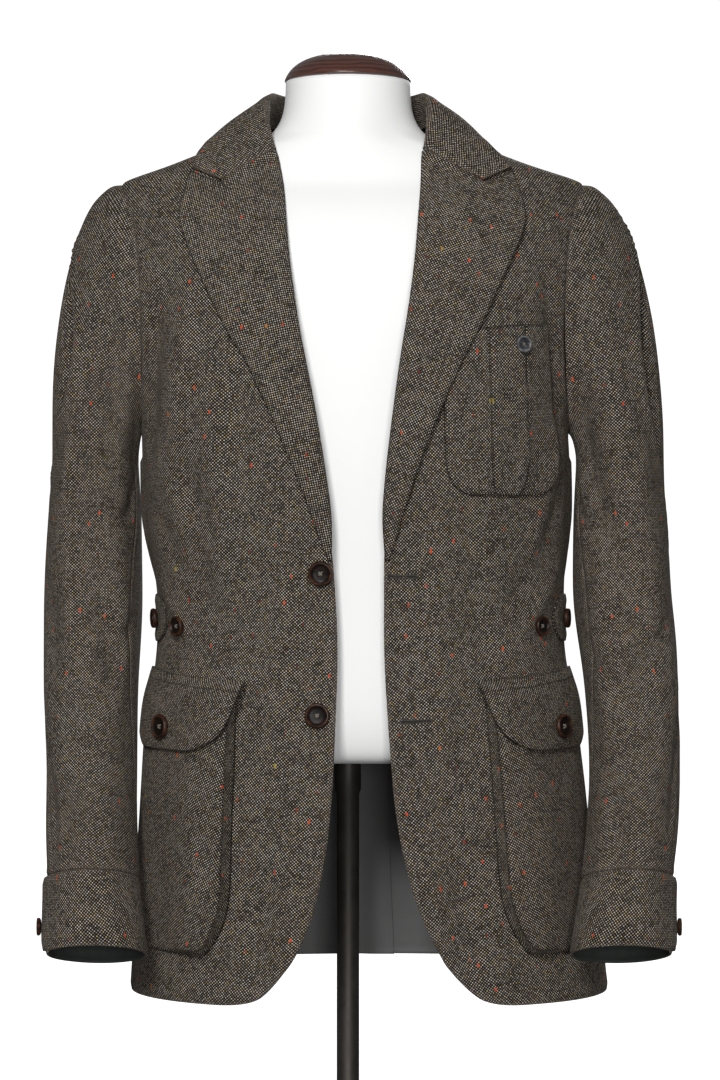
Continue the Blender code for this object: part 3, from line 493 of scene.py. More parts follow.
# the same for each sleeve: metres round from its front, the outer side above zero; its long outer
# fold comes first, a ridge with a hollow and a fuller part behind it, and its first two lines also
# place a painted highlight on the ridge and painted shade in the hollow
sleeveCreases = {
    "right": (
        (0.075, 0.805, 0.070, 0.575, 0.041, 0.0050, 0.0026),
        (0.087, 0.805, 0.082, 0.570, 0.041, 0.0078, -0.0054),
        (0.094, 0.790, 0.090, 0.580, 0.006, 0.0140, 0.0012),
        (0.005, 0.775, 0.001, 0.570, 0.004, 0.0085, -0.0036),
        (-0.018, 0.760, -0.021, 0.500, 0.002, 0.0110, 0.0022),
        (0.018, 0.740, 0.026, 0.560, -0.004, 0.0090, 0.0016),
        (0.018, 0.610, 0.004, 0.490, 0.000, 0.0080, -0.0030),
        (-0.055, 0.600, -0.015, 0.540, 0.006, 0.0070, -0.0020),
        (0.005, 0.520, -0.026, 0.390, 0.005, 0.0080, -0.0034),
        (0.019, 0.530, 0.006, 0.415, 0.000, 0.0080, 0.0022),
        (-0.030, 0.540, -0.028, 0.365, 0.000, 0.0100, 0.0022),
        (0.046, 0.500, 0.030, 0.400, 0.006, 0.0090, -0.0024),
        (-0.050, 0.470, -0.010, 0.425, 0.004, 0.0070, -0.0018),
        (0.052, 0.365, 0.040, 0.255, 0.003, 0.0100, -0.0028),
        (-0.012, 0.335, -0.015, 0.222, 0.002, 0.0140, 0.0020),
        (0.026, 0.330, 0.018, 0.240, 0.004, 0.0080, -0.0016),
        (0.120, 0.560, 0.165, 0.490, 0.006, 0.0110, 0.0028),
        (0.110, 0.515, 0.160, 0.455, 0.006, 0.0090, -0.0026),
        (0.132, 0.760, 0.140, 0.600, -0.005, 0.0120, -0.0024),
        (-0.140, 0.640, -0.122, 0.500, 0.005, 0.0120, -0.0024),
        (-0.118, 0.420, -0.130, 0.290, 0.004, 0.0120, 0.0022),
    ),
    "left": (
        (0.075, 0.830, 0.075, 0.520, 0.039, 0.0050, 0.0026),
        (0.087, 0.830, 0.086, 0.515, 0.039, 0.0078, -0.0054),
        (0.095, 0.800, 0.092, 0.530, 0.006, 0.0140, 0.0012),
        (-0.013, 0.780, -0.018, 0.590, 0.002, 0.0078, -0.0036),
        (-0.036, 0.750, -0.037, 0.520, 0.001, 0.0090, 0.0022),
        (0.000, 0.735, 0.021, 0.560, -0.004, 0.0100, 0.0025),
        (-0.015, 0.625, -0.003, 0.460, 0.003, 0.0085, -0.0032),
        (-0.056, 0.590, -0.022, 0.530, 0.005, 0.0070, -0.0020),
        (0.020, 0.540, 0.014, 0.420, -0.003, 0.0090, 0.0024),
        (-0.026, 0.500, -0.030, 0.350, 0.002, 0.0095, 0.0021),
        (0.040, 0.470, -0.012, 0.380, 0.006, 0.0085, -0.0030),
        (-0.052, 0.450, -0.012, 0.400, 0.004, 0.0075, -0.0019),
        (0.056, 0.400, 0.040, 0.275, 0.004, 0.0100, -0.0027),
        (0.010, 0.345, 0.004, 0.225, 0.002, 0.0130, 0.0019),
        (-0.024, 0.330, -0.018, 0.235, -0.003, 0.0080, -0.0017),
        (0.122, 0.570, 0.168, 0.500, 0.006, 0.0110, 0.0027),
        (0.112, 0.520, 0.162, 0.470, 0.005, 0.0090, -0.0025),
        (0.134, 0.745, 0.142, 0.590, -0.004, 0.0120, -0.0022),
        (-0.138, 0.620, -0.124, 0.490, 0.005, 0.0120, -0.0023),
        (-0.120, 0.410, -0.128, 0.280, 0.003, 0.0120, 0.0021),
    ),
}
# how the cloth lies: usual sections of the body and sleeves, creases, seams and edges, in metres
cloth = {
    "levels": 3,
    "rimAngle": 52.0,
    "bodyMiddle": 0.008,
    "ovalHalf": 0.190,
    "ovalFront": 0.130,
    "ovalBack": 0.118,
    "ovalSquare": 2.4,
    "shoulderFrom": 0.80,
    "shoulderOver": 0.07,
    "shoulderLean": 1.2,
    "sleeveRadius": 0.052,
    "sleeveHeights": (0.17, 0.80),
    "capFrom": 0.78,
    "creaseScale": 2.0,
    "unevenness": 0.0007,
    "unevenSize": 0.075,
    "seamDip": 0.0007,
    "seamWidth": 0.0022,
    "seamCalm": 0.020,
    "calmLeast": 0.25,
    "puff": 0.0005,
    "puffAt": 0.006,
    "puffWidth": 0.003,
    "edgeWidth": 0.0016,
    # width of the painted shade round laid-on pieces
    "patchEdgeWidth": 0.0010,
}
hem = {"top": 0.180, "thick": 0.0006, "step": 0.0015, "insideFrom": -0.3}
flapStitches = {"below": 0.0085, "slots": 12}
sleeveHead = {"rise": 0.0030, "out": 0.008, "width": 0.007, "from": 0.76, "over": 0.06}
# the sleeve's outer fold as painted light: a painted highlight along its ridge, painted shade in its hollow
outerFold = {
    "pale": 2.2,
    "ridgeWidth": 0.0014,
    "dark": -0.42,
    "hollowOut": 0.012,
    "hollowWidth": 0.018,
    "endSharpness": 3.0,
    "keepEdgeFrom": 0.2,
}
# sewn rims: how far they are drawn and tucked under, and the stretch that is sewn, as the greatest
# distance to each side of a middle and the least height
seams = {
    "armhole": {"reach": 0.006, "tuck": 0.0012, "middle": 0.0, "aside": 1.0, "from": 0.60},
    "centreBack": {"reach": 0.0025, "tuck": 0.0001, "middle": cloth["bodyMiddle"], "aside": 0.03,
                   "from": 0.355},
    "gorge": {"reach": 0.005, "tuck": 0.0003, "middle": 0.0, "aside": 0.108, "from": 0.83},
}


def creaseLine(crease, around, height):
    # distance to one crease's line, and how far it has faded towards its ends
    startAround, startHeight, endAround, endHeight, bow = crease[:5]
    acrossRun, upRun = endAround - startAround, endHeight - startHeight
    run = math.hypot(acrossRun, upRun)
    along = ((around - startAround) * acrossRun + (height - startHeight) * upRun) / run ** 2
    fade = np.clip(1.0 - (2.0 * along - 1.0) ** 2, 0.0, 1.0)
    return ((around - startAround) * upRun - (height - startHeight) * acrossRun) / run - bow * fade, fade


def creaseHeight(creases, around, height):
    total = np.zeros(len(around))
    for crease in creases:
        aside, fade = creaseLine(crease, around, height)
        width, rise = crease[5:]
        total += rise * fade ** 0.8 * np.exp(-(aside / (width * (0.7 + 0.5 * fade))) ** 2)
    return total


def softNoise(points, size, seed, waves=7):
    # a few crossed waves of uneven length, so that no stretch of cloth is quite flat
    rng = np.random.default_rng(seed)
    total = np.zeros(len(points))
    for _ in range(waves):
        direction = rng.normal(size=3)
        direction *= 2 * math.pi / (size * rng.uniform(0.7, 1.6)) / np.linalg.norm(direction)
        total += np.sin(points @ direction + rng.uniform(0, 2 * math.pi))
    return total / waves * 1.6


def meshPoints(mesh):
    points = np.zeros(len(mesh.vertices) * 3)
    mesh.vertices.foreach_get("co", points)
    return points.reshape(-1, 3)


def meshNormals(mesh):
    normals = np.zeros(len(mesh.vertices) * 3)
    mesh.vertex_normals.foreach_get("vector", normals)
    return normals.reshape(-1, 3)


def faceGroups(form):
    # faces joined across edges that aren't seams
    left = set(form.faces)
    groups = []
    while left:
        group, queue = [], [left.pop()]
        while queue:
            face = queue.pop()
            group.append(face)
            for edge in face.edges:
                if edge.seam:
                    continue
                fresh = [other for other in edge.link_faces if other in left]
                left.difference_update(fresh)
                queue.extend(fresh)
        groups.append(group)
    return groups


def layStraight(holder, worn, girth):
    # weave coordinates for a straight band: as worn, mended where the count round starts again
    layer = holder.data.uv_layers.new(name="weave")
    for face in holder.data.polygons:
        places = worn[list(face.vertices)]
        if np.ptp(places[:, 0]) > girth / 2:
            places[:, 0] = np.where(places[:, 0] < 0, places[:, 0] + girth, places[:, 0])
        for loop, place in zip(face.loop_indices, places):
            layer.data[loop].uv = place


def layFlat(holder, worn):
    # weave coordinates in metres: each face group unwrapped at its real size, its grain as worn
    mesh = holder.data
    mesh.uv_layers.new(name="weave")
    for other in bpy.context.view_layer.objects:
        other.select_set(other == holder)
    bpy.context.view_layer.objects.active = holder
    bpy.ops.object.mode_set(mode="EDIT")
    bpy.ops.mesh.select_all(action="SELECT")
    bpy.ops.uv.unwrap(method="ANGLE_BASED", margin=0.0)
    bpy.ops.object.mode_set(mode="OBJECT")
    form = bmesh.new()
    form.from_mesh(mesh)
    layer = form.loops.layers.uv["weave"]
    for group in faceGroups(form):
        loops = [loop for face in group for loop in face.loops]
        flat = np.array([loop[layer].uv for loop in loops])
        aim = worn[[loop.vert.index for loop in loops]]
        area = 0.0
        for face in group:
            corners = np.array([loop[layer].uv for loop in face.loops])
            after = np.roll(corners, -1, axis=0)
            area += abs((corners[:, 0] * after[:, 1] - corners[:, 1] * after[:, 0]).sum()) / 2
        scale = math.sqrt(sum(face.calc_area() for face in group) / max(area, 1e-12))
        flat = (flat - flat.mean(axis=0)) * scale
        left, _, right = np.linalg.svd(flat.T @ (aim - aim.mean(axis=0)))
        flat = flat @ left @ right + aim.mean(axis=0)
        for loop, place in zip(loops, flat):
            loop[layer].uv = place
    form.to_mesh(mesh)
    form.free()


# how the CAD's triangles are joined to quads, in metres and degrees
quads = {"weld": 0.00002, "faceAngle": 38, "shapeAngle": 70, "topology": 1.2}


def smoothedCopy(nodeName, levels, rimAngle, unroll=None):
    # the CAD wall as quads again, rounded by subdivision with its rims kept sharp
    form = bmesh.new()
    form.from_mesh(nodes[nodeName].data)
    bmesh.ops.remove_doubles(form, verts=form.verts[:], dist=quads["weld"])
    bmesh.ops.join_triangles(form, faces=form.faces[:], angle_face_threshold=math.radians(quads["faceAngle"]),
                             angle_shape_threshold=math.radians(quads["shapeAngle"]),
                             topology_influence=quads["topology"])
    crease = form.edges.layers.float.new("crease_edge")
    for edge in form.edges:
        if len(edge.link_faces) == 2 and edge.calc_face_angle() > math.radians(rimAngle):
            edge[crease] = 1.0
            edge.seam = True
    mesh = bpy.data.meshes.new(nodeName)
    form.to_mesh(mesh)
    form.free()
    holder = bpy.data.objects.new(nodeName + "Holder", mesh)
    scene.collection.objects.link(holder)
    if unroll:
        around, _, fall = unroll(meshPoints(mesh))
        worn = np.stack([around, fall], axis=1)
        if nodeName.startswith("cuff"):
            layStraight(holder, worn, 2 * math.pi * cloth["sleeveRadius"])
        else:
            layFlat(holder, worn)
    rounder = holder.modifiers.new("round", "SUBSURF")
    rounder.levels = levels
    rounder.render_levels = levels
    graph = bpy.context.evaluated_depsgraph_get()
    result = bpy.data.meshes.new_from_object(holder.evaluated_get(graph))
    bpy.data.objects.remove(holder)
    result.name = nodeName
    return result


def rimDistance(mesh, rimAngle):
    # how far each point is from the nearest cut edge or fold of its own piece
    form = bmesh.new()
    form.from_mesh(mesh)
    form.verts.ensure_lookup_table()
    rims = set()
    for edge in form.edges:
        if len(edge.link_faces) == 2 and edge.calc_face_angle() > math.radians(rimAngle):
            rims.update(v.index for v in edge.verts)
    tree = KDTree(max(len(rims), 1))
    for index in sorted(rims):
        tree.insert(form.verts[index].co, index)
    tree.balance()
    distance = np.full(len(form.verts), 1.0)
    if rims:
        distance = np.array([tree.find(v.co)[2] for v in form.verts])
    form.free()
    return distance


def ovalTable():
    # distance round the body's usual section from the front centre, for each direction
    turn = np.linspace(0.0, math.pi, 721)
    power = 2.0 / cloth["ovalSquare"]
    deep = np.where(np.cos(turn) > 0, cloth["ovalFront"], cloth["ovalBack"])
    x = cloth["ovalHalf"] * np.abs(np.sin(turn)) ** power
    y = -deep * np.sign(np.cos(turn)) * np.abs(np.cos(turn)) ** power
    steps = np.hypot(np.diff(x), np.diff(y))
    return np.arctan2(x, -y), np.concatenate([[0.0], np.cumsum(steps)])


def sleeveLine(word):
    # centre line of a sleeve as curves of height, read from its two pieces and its cuff
    stacks = [meshPoints(nodes[name + word].data) for name in ("sleeve_upper_", "sleeve_under_", "cuff_")]
    points = np.vstack(stacks)
    points = points[points[:, 2] < cloth["sleeveHeights"][1]]
    return {"x": np.polyfit(points[:, 2], points[:, 0], 5), "y": np.polyfit(points[:, 2], points[:, 1], 5)}


def unitRows(vectors):
    return vectors / np.maximum(np.linalg.norm(vectors, axis=1, keepdims=True), 1e-9)


# each of these gives, point by point: distance round, outward direction, height along the fall
def unrollBody(points):
    offX = points[:, 0] - cloth["bodyMiddle"]
    turn = np.arctan2(offX, -points[:, 1])
    around = np.sign(turn) * np.interp(np.abs(turn), *ovalTable())
    lean = np.clip((points[:, 2] - cloth["shoulderFrom"]) / cloth["shoulderOver"], 0.0, 1.0)
    upward = lean * np.hypot(offX, points[:, 1]) * cloth["shoulderLean"]
    outward = np.stack([offX, points[:, 1], upward], axis=1)
    return around, unitRows(outward), points[:, 2]


def unrollSleeve(points, word):
    side = 1.0 if word == "left" else -1.0
    line = sleeveLines[word]
    height = np.clip(points[:, 2], *cloth["sleeveHeights"])
    offX = (points[:, 0] - np.polyval(line["x"], height)) * side
    offY = points[:, 1] - np.polyval(line["y"], height)
    around = np.arctan2(offX, -offY) * cloth["sleeveRadius"]
    outward = np.stack([offX * side, offY, np.clip(points[:, 2] - cloth["capFrom"], 0, 1)], axis=1)
    return around, unitRows(outward), points[:, 2]


collarCone = {"radius": 0.10, "back": 0.01, "lean": 0.08, "out": -0.79, "up": 0.62}


def unrollCollar(points):
    cone = collarCone
    around = np.arctan2(points[:, 0], points[:, 1]) * cone["radius"]
    upward = np.full(len(points), cone["lean"])
    outward = np.stack([points[:, 0], points[:, 1] - cone["back"], upward], axis=1)
    fall = cone["out"] * np.hypot(points[:, 0], points[:, 1]) + cone["up"] * points[:, 2]
    return around, unitRows(outward), fall


def addAttribute(mesh, name, values):
    layer = mesh.attributes.new(name, "FLOAT", "POINT")
    layer.data.foreach_set("value", values.astype(np.float32))


def stitchDistance(nodeName, points, around):
    # how far each point is from the row of stitches under a flap's top edge
    if "flap" not in nodeName:
        return np.ones(len(points))
    edges = np.linspace(around.min(), around.max(), flapStitches["slots"] + 1)
    slots = [(around >= low) & (around <= high) for low, high in zip(edges, edges[1:])]
    tops = np.polyfit((edges[1:] + edges[:-1]) / 2, [points[slot, 2].max() for slot in slots], 2)
    return np.abs(np.polyval(tops, around) - points[:, 2] - flapStitches["below"])


def nodeTree(names):
    whole = bmesh.new()
    for name in names:
        whole.from_mesh(nodes[name].data)
    tree = BVHTree.FromBMesh(whole)
    whole.free()
    return tree


def closeSeam(points, rim, tree, seam):
    # the sewn rim is drawn to the piece it is sewn to and a little under it
    reach = seam["reach"]
    sewn = (np.abs(points[:, 0] - seam["middle"]) < seam["aside"]) & (points[:, 2] > seam["from"])
    moved = points.copy()
    gaps = np.ones(len(points))
    for index in np.nonzero(sewn & (rim < 3 * reach))[0]:
        spot, _, _, gap = tree.find_nearest(Vector(points[index]), 4 * reach)
        if spot is None or gap < 1e-6:
            continue
        gaps[index] = gap
        weight = math.exp(-(gap / reach) ** 2) * math.exp(-(rim[index] / reach) ** 2)
        moved[index] += (np.array(spot) - points[index]) * weight * (1.0 + seam["tuck"] / gap)
    return moved, gaps


def seamFade(points, tree):
    # creases die out towards the armhole
    fade = np.ones(len(points))
    for index in np.nonzero(points[:, 2] > seams["armhole"]["from"])[0]:
        gap = tree.find_nearest(Vector(points[index]), cloth["seamCalm"])[3]
        if gap is not None:
            fade[index] = max(cloth["calmLeast"], gap / cloth["seamCalm"])
    return fade


def drape(points, around, height, kind, word):
    # creases and unevenness together; all that hangs on the body moves alike
    creases = {"sleeve": sleeveCreases.get(word, ()), "collar": ()}.get(kind, bodyCreases)
    seed = {"sleeve": 3, "collar": 5}.get(kind, 8)
    uneven = cloth["unevenness"] * softNoise(points, cloth["unevenSize"], seed)
    return cloth["creaseScale"] * creaseHeight(creases, around, height) + uneven


def carryWeave(mesh, before, after):
    # the weave keeps its size on cloth that has been drawn to a seam
    corners = np.zeros(len(mesh.loops), dtype=np.int32)
    mesh.loops.foreach_get("vertex_index", corners)
    layer = mesh.uv_layers["weave"]
    flat = np.zeros(len(corners) * 2)
    layer.data.foreach_get("uv", flat)
    flat = flat.reshape(-1, 4, 2)
    worn = before[corners].reshape(-1, 4, 3)
    sides = [np.stack([c[:, 1] - c[:, 0] + c[:, 2] - c[:, 3], c[:, 3] - c[:, 0] + c[:, 2] - c[:, 1]], axis=2)
             for c in (worn, flat)]
    toFlat = sides[1] @ np.linalg.pinv(sides[0])
    shift = (after - before)[corners].reshape(-1, 4, 3)
    flat = flat + np.einsum("fij,fkj->fki", toFlat, shift)
    layer.data.foreach_set("uv", flat.ravel())


def clothRise(nodeName, kind, word, points, around, height, rim, outer):
    # how far each point stands out from the plain wall
    rise = drape(points, around, height, kind, word)
    onBody = nodeName.startswith(("front", "back"))
    if kind == "sleeve":
        rise = rise * seamFade(points, bodyTrees[word])
    elif onBody:
        rise = rise * seamFade(points, sleeveTrees[word])
    rise = rise - cloth["seamDip"] * np.exp(-(rim / cloth["seamWidth"]) ** 2)
    rise = rise + cloth["puff"] * np.exp(-((rim - cloth["puffAt"]) / cloth["puffWidth"]) ** 2)
    if onBody:
        # turned-up hem, a second layer inside
        turnedUp = np.clip((hem["top"] - points[:, 2]) / hem["step"], 0.0, 1.0)
        rise = rise - np.where(outer < hem["insideFrom"], hem["thick"] * turnedUp, 0.0)
    return rise


def ropedHead(gaps, height):
    # the sleeve's head stands up beside its seam
    near = np.exp(-((gaps - sleeveHead["out"]) / sleeveHead["width"]) ** 2)
    return sleeveHead["rise"] * near * np.clip((height - sleeveHead["from"]) / sleeveHead["over"], 0.0, 1.0)


def edgeWearAndPaintedLight(nodeName, word, around, height, rim):
    # rubbed pale edges above zero, and below zero painted shade in the crevices round what is laid on
    if nodeName.startswith(("lapel", "chest", "hip", "pocket", "half")):
        # painted shade round the whole rim of a laid-on piece
        return -np.exp(-(rim / cloth["patchEdgeWidth"]) ** 2)
    tone = np.exp(-(rim / cloth["edgeWidth"]) ** 2)
    if nodeName.startswith("sleeve"):
        # the long outer fold: a painted highlight along its ridge, painted shade in its hollow
        fold = outerFold
        (ridgeAside, ridgeFade), (hollowAside, hollowFade) = (
            creaseLine(crease, around, height) for crease in sleeveCreases[word][:2])
        ridge = np.exp(-(ridgeAside / fold["ridgeWidth"]) ** 2)
        hollow = np.exp(-((hollowAside + fold["hollowOut"]) / fold["hollowWidth"]) ** 2)
        ridge = ridge * np.clip(fold["endSharpness"] * ridgeFade, 0.0, 1.0)
        hollow = hollow * np.clip(fold["endSharpness"] * hollowFade, 0.0, 1.0)
        tone = np.where(tone > fold["keepEdgeFrom"], tone, fold["dark"] * hollow)
        tone = np.maximum(tone, fold["pale"] * ridge)
    return tone


def clothPiece(nodeName, kind, finish, inside, cut, held, rests, word=None):
    ways = {"sleeve": lambda points: unrollSleeve(points, word), "collar": unrollCollar, "body": unrollBody}
    unroll = ways[kind]
    mesh = smoothedCopy(nodeName, cloth["levels"], cloth["rimAngle"], unroll)
    points = meshPoints(mesh)
    rim = rimDistance(mesh, cloth["rimAngle"])
    around, outward, height = unroll(points)
    outer = (meshNormals(mesh) * outward).sum(axis=1)
    rise = clothRise(nodeName, kind, word, points, around, height, rim, outer)
    if nodeName.startswith("sleeve"):
        drawn, gaps = closeSeam(points, rim, bodyTrees[word], seams["armhole"])
        carryWeave(mesh, points, drawn)
        points = drawn
        rise = rise + ropedHead(gaps, height)
    elif nodeName == "back_left":
        points, _ = closeSeam(points, rim, backTree, seams["centreBack"])
    elif nodeName.startswith("lapel"):
        points, _ = closeSeam(points, rim, collarTree, seams["gorge"])
    # the rim attribute carries rubbed wear, a painted highlight and painted shade
    addAttribute(mesh, "rim", edgeWearAndPaintedLight(nodeName, word, around, height, rim))
    addAttribute(mesh, "stitch", stitchDistance(nodeName, points, around))
    points = points + outward * rise[:, None]
    mesh.vertices.foreach_set("co", points.ravel())
    mesh.materials.clear()
    mesh.materials.append(finishes[finish])
    mesh.materials.append(finishes[inside])
    faceInside = [1 if sum(outer[i] for i in face.vertices) < 0 else 0 for face in mesh.polygons]
    mesh.polygons.foreach_set("material_index", faceInside)
    mesh.polygons.foreach_set("use_smooth", [True] * len(mesh.polygons))
    mesh.update()
    piece = bpy.data.objects.new(nodeName + "_cloth", mesh)
    scene.collection.objects.link(piece)
    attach(piece, "root")
    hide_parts(nodeName)
    return piece


sleeveLines = {word: sleeveLine(word) for word in ("left", "right")}
bodyTrees = {word: nodeTree(["front_" + word, "back_" + word]) for word in ("left", "right")}
sleeveTrees = {word: nodeTree(["sleeve_upper_" + word, "sleeve_under_" + word]) for word in ("left", "right")}
collarTree = nodeTree(["collar"])
backTree = nodeTree(["back_right"])

# each cut piece: what it is unrolled from, outside and inside finish, flat cut (width, length, area),
# how it is held and on what
pairedPieces = {
    "front": ("body", "tweed", "inside", (0.270, 0.780, 0.160), "hung", ["form_body"]),
    "back": ("body", "tweed", "inside", (0.300, 0.760, 0.184), "hung", ["form_body"]),
    "lapel": ("body", "tweedLapel", "tweedLapel", (0.105, 0.370, 0.020), "folded", ["front"]),
    "sleeve_upper": ("sleeve", "tweed", "lining", (0.170, 0.620, 0.071), "hung", ["front"]),
    "sleeve_under": ("sleeve", "tweed", "lining", (0.225, 0.620, 0.108), "hung", ["back"]),
    "cuff": ("sleeve", "tweedCuff", "lining", (0.310, 0.070, 0.020), "stretched", ["sleeve_under"]),
    "hip_pocket": ("body", "tweed", "tweed", (0.170, 0.230, 0.032), "hung", ["front"]),
    "pocket_flap": ("body", "tweed", "tweed", (0.150, 0.075, 0.0095), "hung", ["front"]),
}
singlePieces = {
    "collar": ("collar", "tweedLapel", "tweedLapel", (0.480, 0.095, 0.037), "folded", ["form_body"]),
    "chest_pocket": ("body", "tweed", "tweed", (0.120, 0.150, 0.0168), "hung", ["front_left"]),
    "half_belt": ("body", "tweed", "tweed", (0.620, 0.042, 0.0250), "stretched", ["back_left", "back_right"]),
}

made = {}
for base, (*look, rests) in pairedPieces.items():
    for word in ("left", "right"):
        name = base + "_" + word
        under = [rest if rest == "form_body" else rest + "_" + word for rest in rests]
        made[name] = clothPiece(name, *look, under, word)
for name, row in singlePieces.items():
    made[name] = clothPiece(name, *row)
print("cloth pieces made,", len(made))


def finishPiece(name, mesh, finish, replaced=()):
    mesh.materials.clear()
    mesh.materials.append(finishes[finish])
    piece = bpy.data.objects.new(name, mesh)
    scene.collection.objects.link(piece)
    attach(piece, "root")
    if replaced:
        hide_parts(*replaced)


# turned buttons: dished face, raised rim, four holes and a crossed thread, as shares of the radius
# across and of the thickness up
buttonShape = {
    "profile": ((0.0, 0.04), (0.70, 0.0), (0.93, 0.18), (1.0, 0.48), (0.975, 0.80), (0.90, 0.98), (0.82, 1.0),
                (0.74, 0.86), (0.66, 0.66), (0.50, 0.58), (0.0, 0.54)),
    "sides": 48,
    "rimFrom": 0.76,
    "holeRadius": 0.085,
    "holeOut": 0.20,
    "holeSides": 16,
    "strand": 0.036,
    "strandSides": 6,
    "strandSteps": 8,
    "strandAside": 0.035,
    "strandReach": 1.02,
    "strandEnd": 0.30,
    "strandLift": 0.62,
    "strandBow": 0.10,
    "smoothAngle": 35,
}
threadAngle = 60


def buttonPlace(nodeName):
    # centre of the underside, axis away from the cloth, radius and thickness of a CAD button
    points = meshPoints(nodes[nodeName].data)
    middle = points.mean(axis=0)
    axis = np.linalg.svd(points - middle)[2][2]
    outward = middle - np.array([0.0, 0.0, middle[2]])
    if nodeName.startswith("cuff"):
        line = sleeveLines[nodeName.split("_")[-1]]
        centre = [np.polyval(line[axisName], middle[2]) for axisName in ("x", "y")]
        outward = middle - np.array([*centre, middle[2]])
    if axis @ outward < 0:
        axis = -axis
    along = (points - middle) @ axis
    aside = points - middle - np.outer(along, axis)
    radius = np.linalg.norm(aside, axis=1).max()
    return Vector(middle + axis * along.min()), Vector(axis), radius, along.max() - along.min()


def circle(sides):
    return [(math.cos(2 * math.pi * k / sides), math.sin(2 * math.pi * k / sides)) for k in range(sides)]


def lathe(profile, sides):
    form = bmesh.new()
    rings = []
    for radius, height in profile:
        spots = circle(sides) if radius else [(0.0, 0.0)]
        rings.append([form.verts.new((radius * x, radius * y, height)) for x, y in spots])
    for low, high in zip(rings, rings[1:]):
        for k in range(sides):
            n = (k + 1) % sides
            corners = [low[k % len(low)], low[n % len(low)], high[n % len(high)], high[k % len(high)]]
            form.faces.new(list(dict.fromkeys(corners)))
    bmesh.ops.recalc_face_normals(form, faces=form.faces[:])
    return form


def toMesh(form, name):
    mesh = bpy.data.meshes.new(name)
    form.to_mesh(mesh)
    form.free()
    return mesh


def smoothByAngle(mesh, degrees):
    mesh.polygons.foreach_set("use_smooth", [True] * len(mesh.polygons))
    mesh.set_sharp_from_angle(angle=math.radians(degrees))


def tube(path, radius, sides=8, closed=False):
    # round cord along a list of points
    form = bmesh.new()
    rings = []
    count = len(path)
    aside = None
    for i, point in enumerate(path):
        ahead = path[(i + 1) % count] if closed or i + 1 < count else point
        behind = path[i - 1] if closed or i > 0 else point
        direction = (ahead - behind).normalized()
        start = direction.orthogonal() if aside is None else aside - direction * aside.dot(direction)
        aside = start.normalized()
        other = direction.cross(aside)
        rings.append([form.verts.new(point + (aside * x + other * y) * radius) for x, y in circle(sides)])
    pairs = list(zip(rings, rings[1:])) + ([(rings[-1], rings[0])] if closed else [])
    for low, high in pairs:
        for k in range(sides):
            n = (k + 1) % sides
            form.faces.new((low[k], low[n], high[n], high[k]))
    if not closed:
        form.faces.new(list(reversed(rings[0])))
        form.faces.new(rings[-1])
    bmesh.ops.recalc_face_normals(form, faces=form.faces[:])
    return form


def joinForms(forms, name):
    whole = bmesh.new()
    for form in forms:
        piece = toMesh(form, "part")
        whole.from_mesh(piece)
        bpy.data.meshes.remove(piece)
    return toMesh(whole, name)


def drilledBody(nodeName, radius, thick):
    shape = buttonShape
    body = toMesh(lathe([(r * radius, h * thick) for r, h in shape["profile"]], shape["sides"]), nodeName)
    holder = bpy.data.objects.new(nodeName + "Holder", body)
    hole = shape["holeRadius"] * radius
    drills = []
    for k in range(4):
        turn = math.pi / 4 + k * math.pi / 2
        at = Vector((math.cos(turn), math.sin(turn), 0.0)) * shape["holeOut"] * radius
        ends = (-thick, 2 * thick)
        drill = lathe([(0.0, ends[0]), (hole, ends[0]), (hole, ends[1]), (0.0, ends[1])], shape["holeSides"])
        bmesh.ops.translate(drill, verts=drill.verts[:], vec=at)
        drills.append(drill)
    cutter = bpy.data.objects.new(nodeName + "Drill", joinForms(drills, "drill"))
    for thing in (holder, cutter):
        scene.collection.objects.link(thing)
    cut = holder.modifiers.new("holes", "BOOLEAN")
    cut.operation = "DIFFERENCE"
    cut.object = cutter
    mesh = bpy.data.meshes.new_from_object(holder.evaluated_get(bpy.context.evaluated_depsgraph_get()))
    for thing in (holder, cutter):
        bpy.data.objects.remove(thing)
    mesh.name = nodeName
    return mesh


def crossedThread(nodeName, radius, thick):
    # two strands over each pair of holes, bowed a little and down into the holes at their ends
    shape = buttonShape
    reach = shape["holeOut"] * shape["strandReach"] * radius
    steps = shape["strandSteps"]
    strands = []
    for turn in (math.pi / 4, -math.pi / 4):
        along = Vector((math.cos(turn), math.sin(turn), 0.0))
        across = Vector((-along.y, along.x, 0.0))
        for shift in (-shape["strandAside"], shape["strandAside"]):
            path = []
            for step in range(steps + 1):
                t = step / steps * 2 - 1
                lift = shape["strandLift"] + shape["strandBow"] * (1 - t ** 4)
                if abs(t) == 1:
                    lift = shape["strandEnd"]
                path.append(along * reach * t + across * radius * shift + Vector((0.0, 0.0, thick * lift)))
            strands.append(tube(path, radius * shape["strand"], shape["strandSides"]))
    return joinForms(strands, nodeName + "_thread")


def buttonPiece(nodeName, finish):
    centre, axis, radius, thick = buttonPlace(nodeName)
    # the button goes where the draped cloth under it goes
    spot = np.array([centre])
    word = nodeName.split("_")[-1]
    onCuff = nodeName.startswith("cuff")
    around, outward, height = unrollSleeve(spot, word) if onCuff else unrollBody(spot)
    rise = drape(spot, around, height, "sleeve" if onCuff else "body", word)
    centre = centre + Vector(outward[0] * rise[0])
    place = Matrix.Translation(centre) @ axis.to_track_quat("Z", "Y").to_matrix().to_4x4()
    mesh = drilledBody(nodeName, radius, thick)
    rimFrom = buttonShape["rimFrom"] * radius
    onRim = [1 if math.hypot(*face.center[:2]) > rimFrom else 0 for face in mesh.polygons]
    mesh.transform(place)
    smoothByAngle(mesh, buttonShape["smoothAngle"])
    finishPiece(nodeName + "_turned", mesh, finish, [nodeName])
    mesh.materials.append(finishes[finish + "Rim"])
    mesh.polygons.foreach_set("material_index", onRim)
    thread = crossedThread(nodeName, radius, thick)
    thread.transform(place)
    smoothByAngle(thread, threadAngle)
    finishPiece(nodeName + "_thread", thread, "thread")


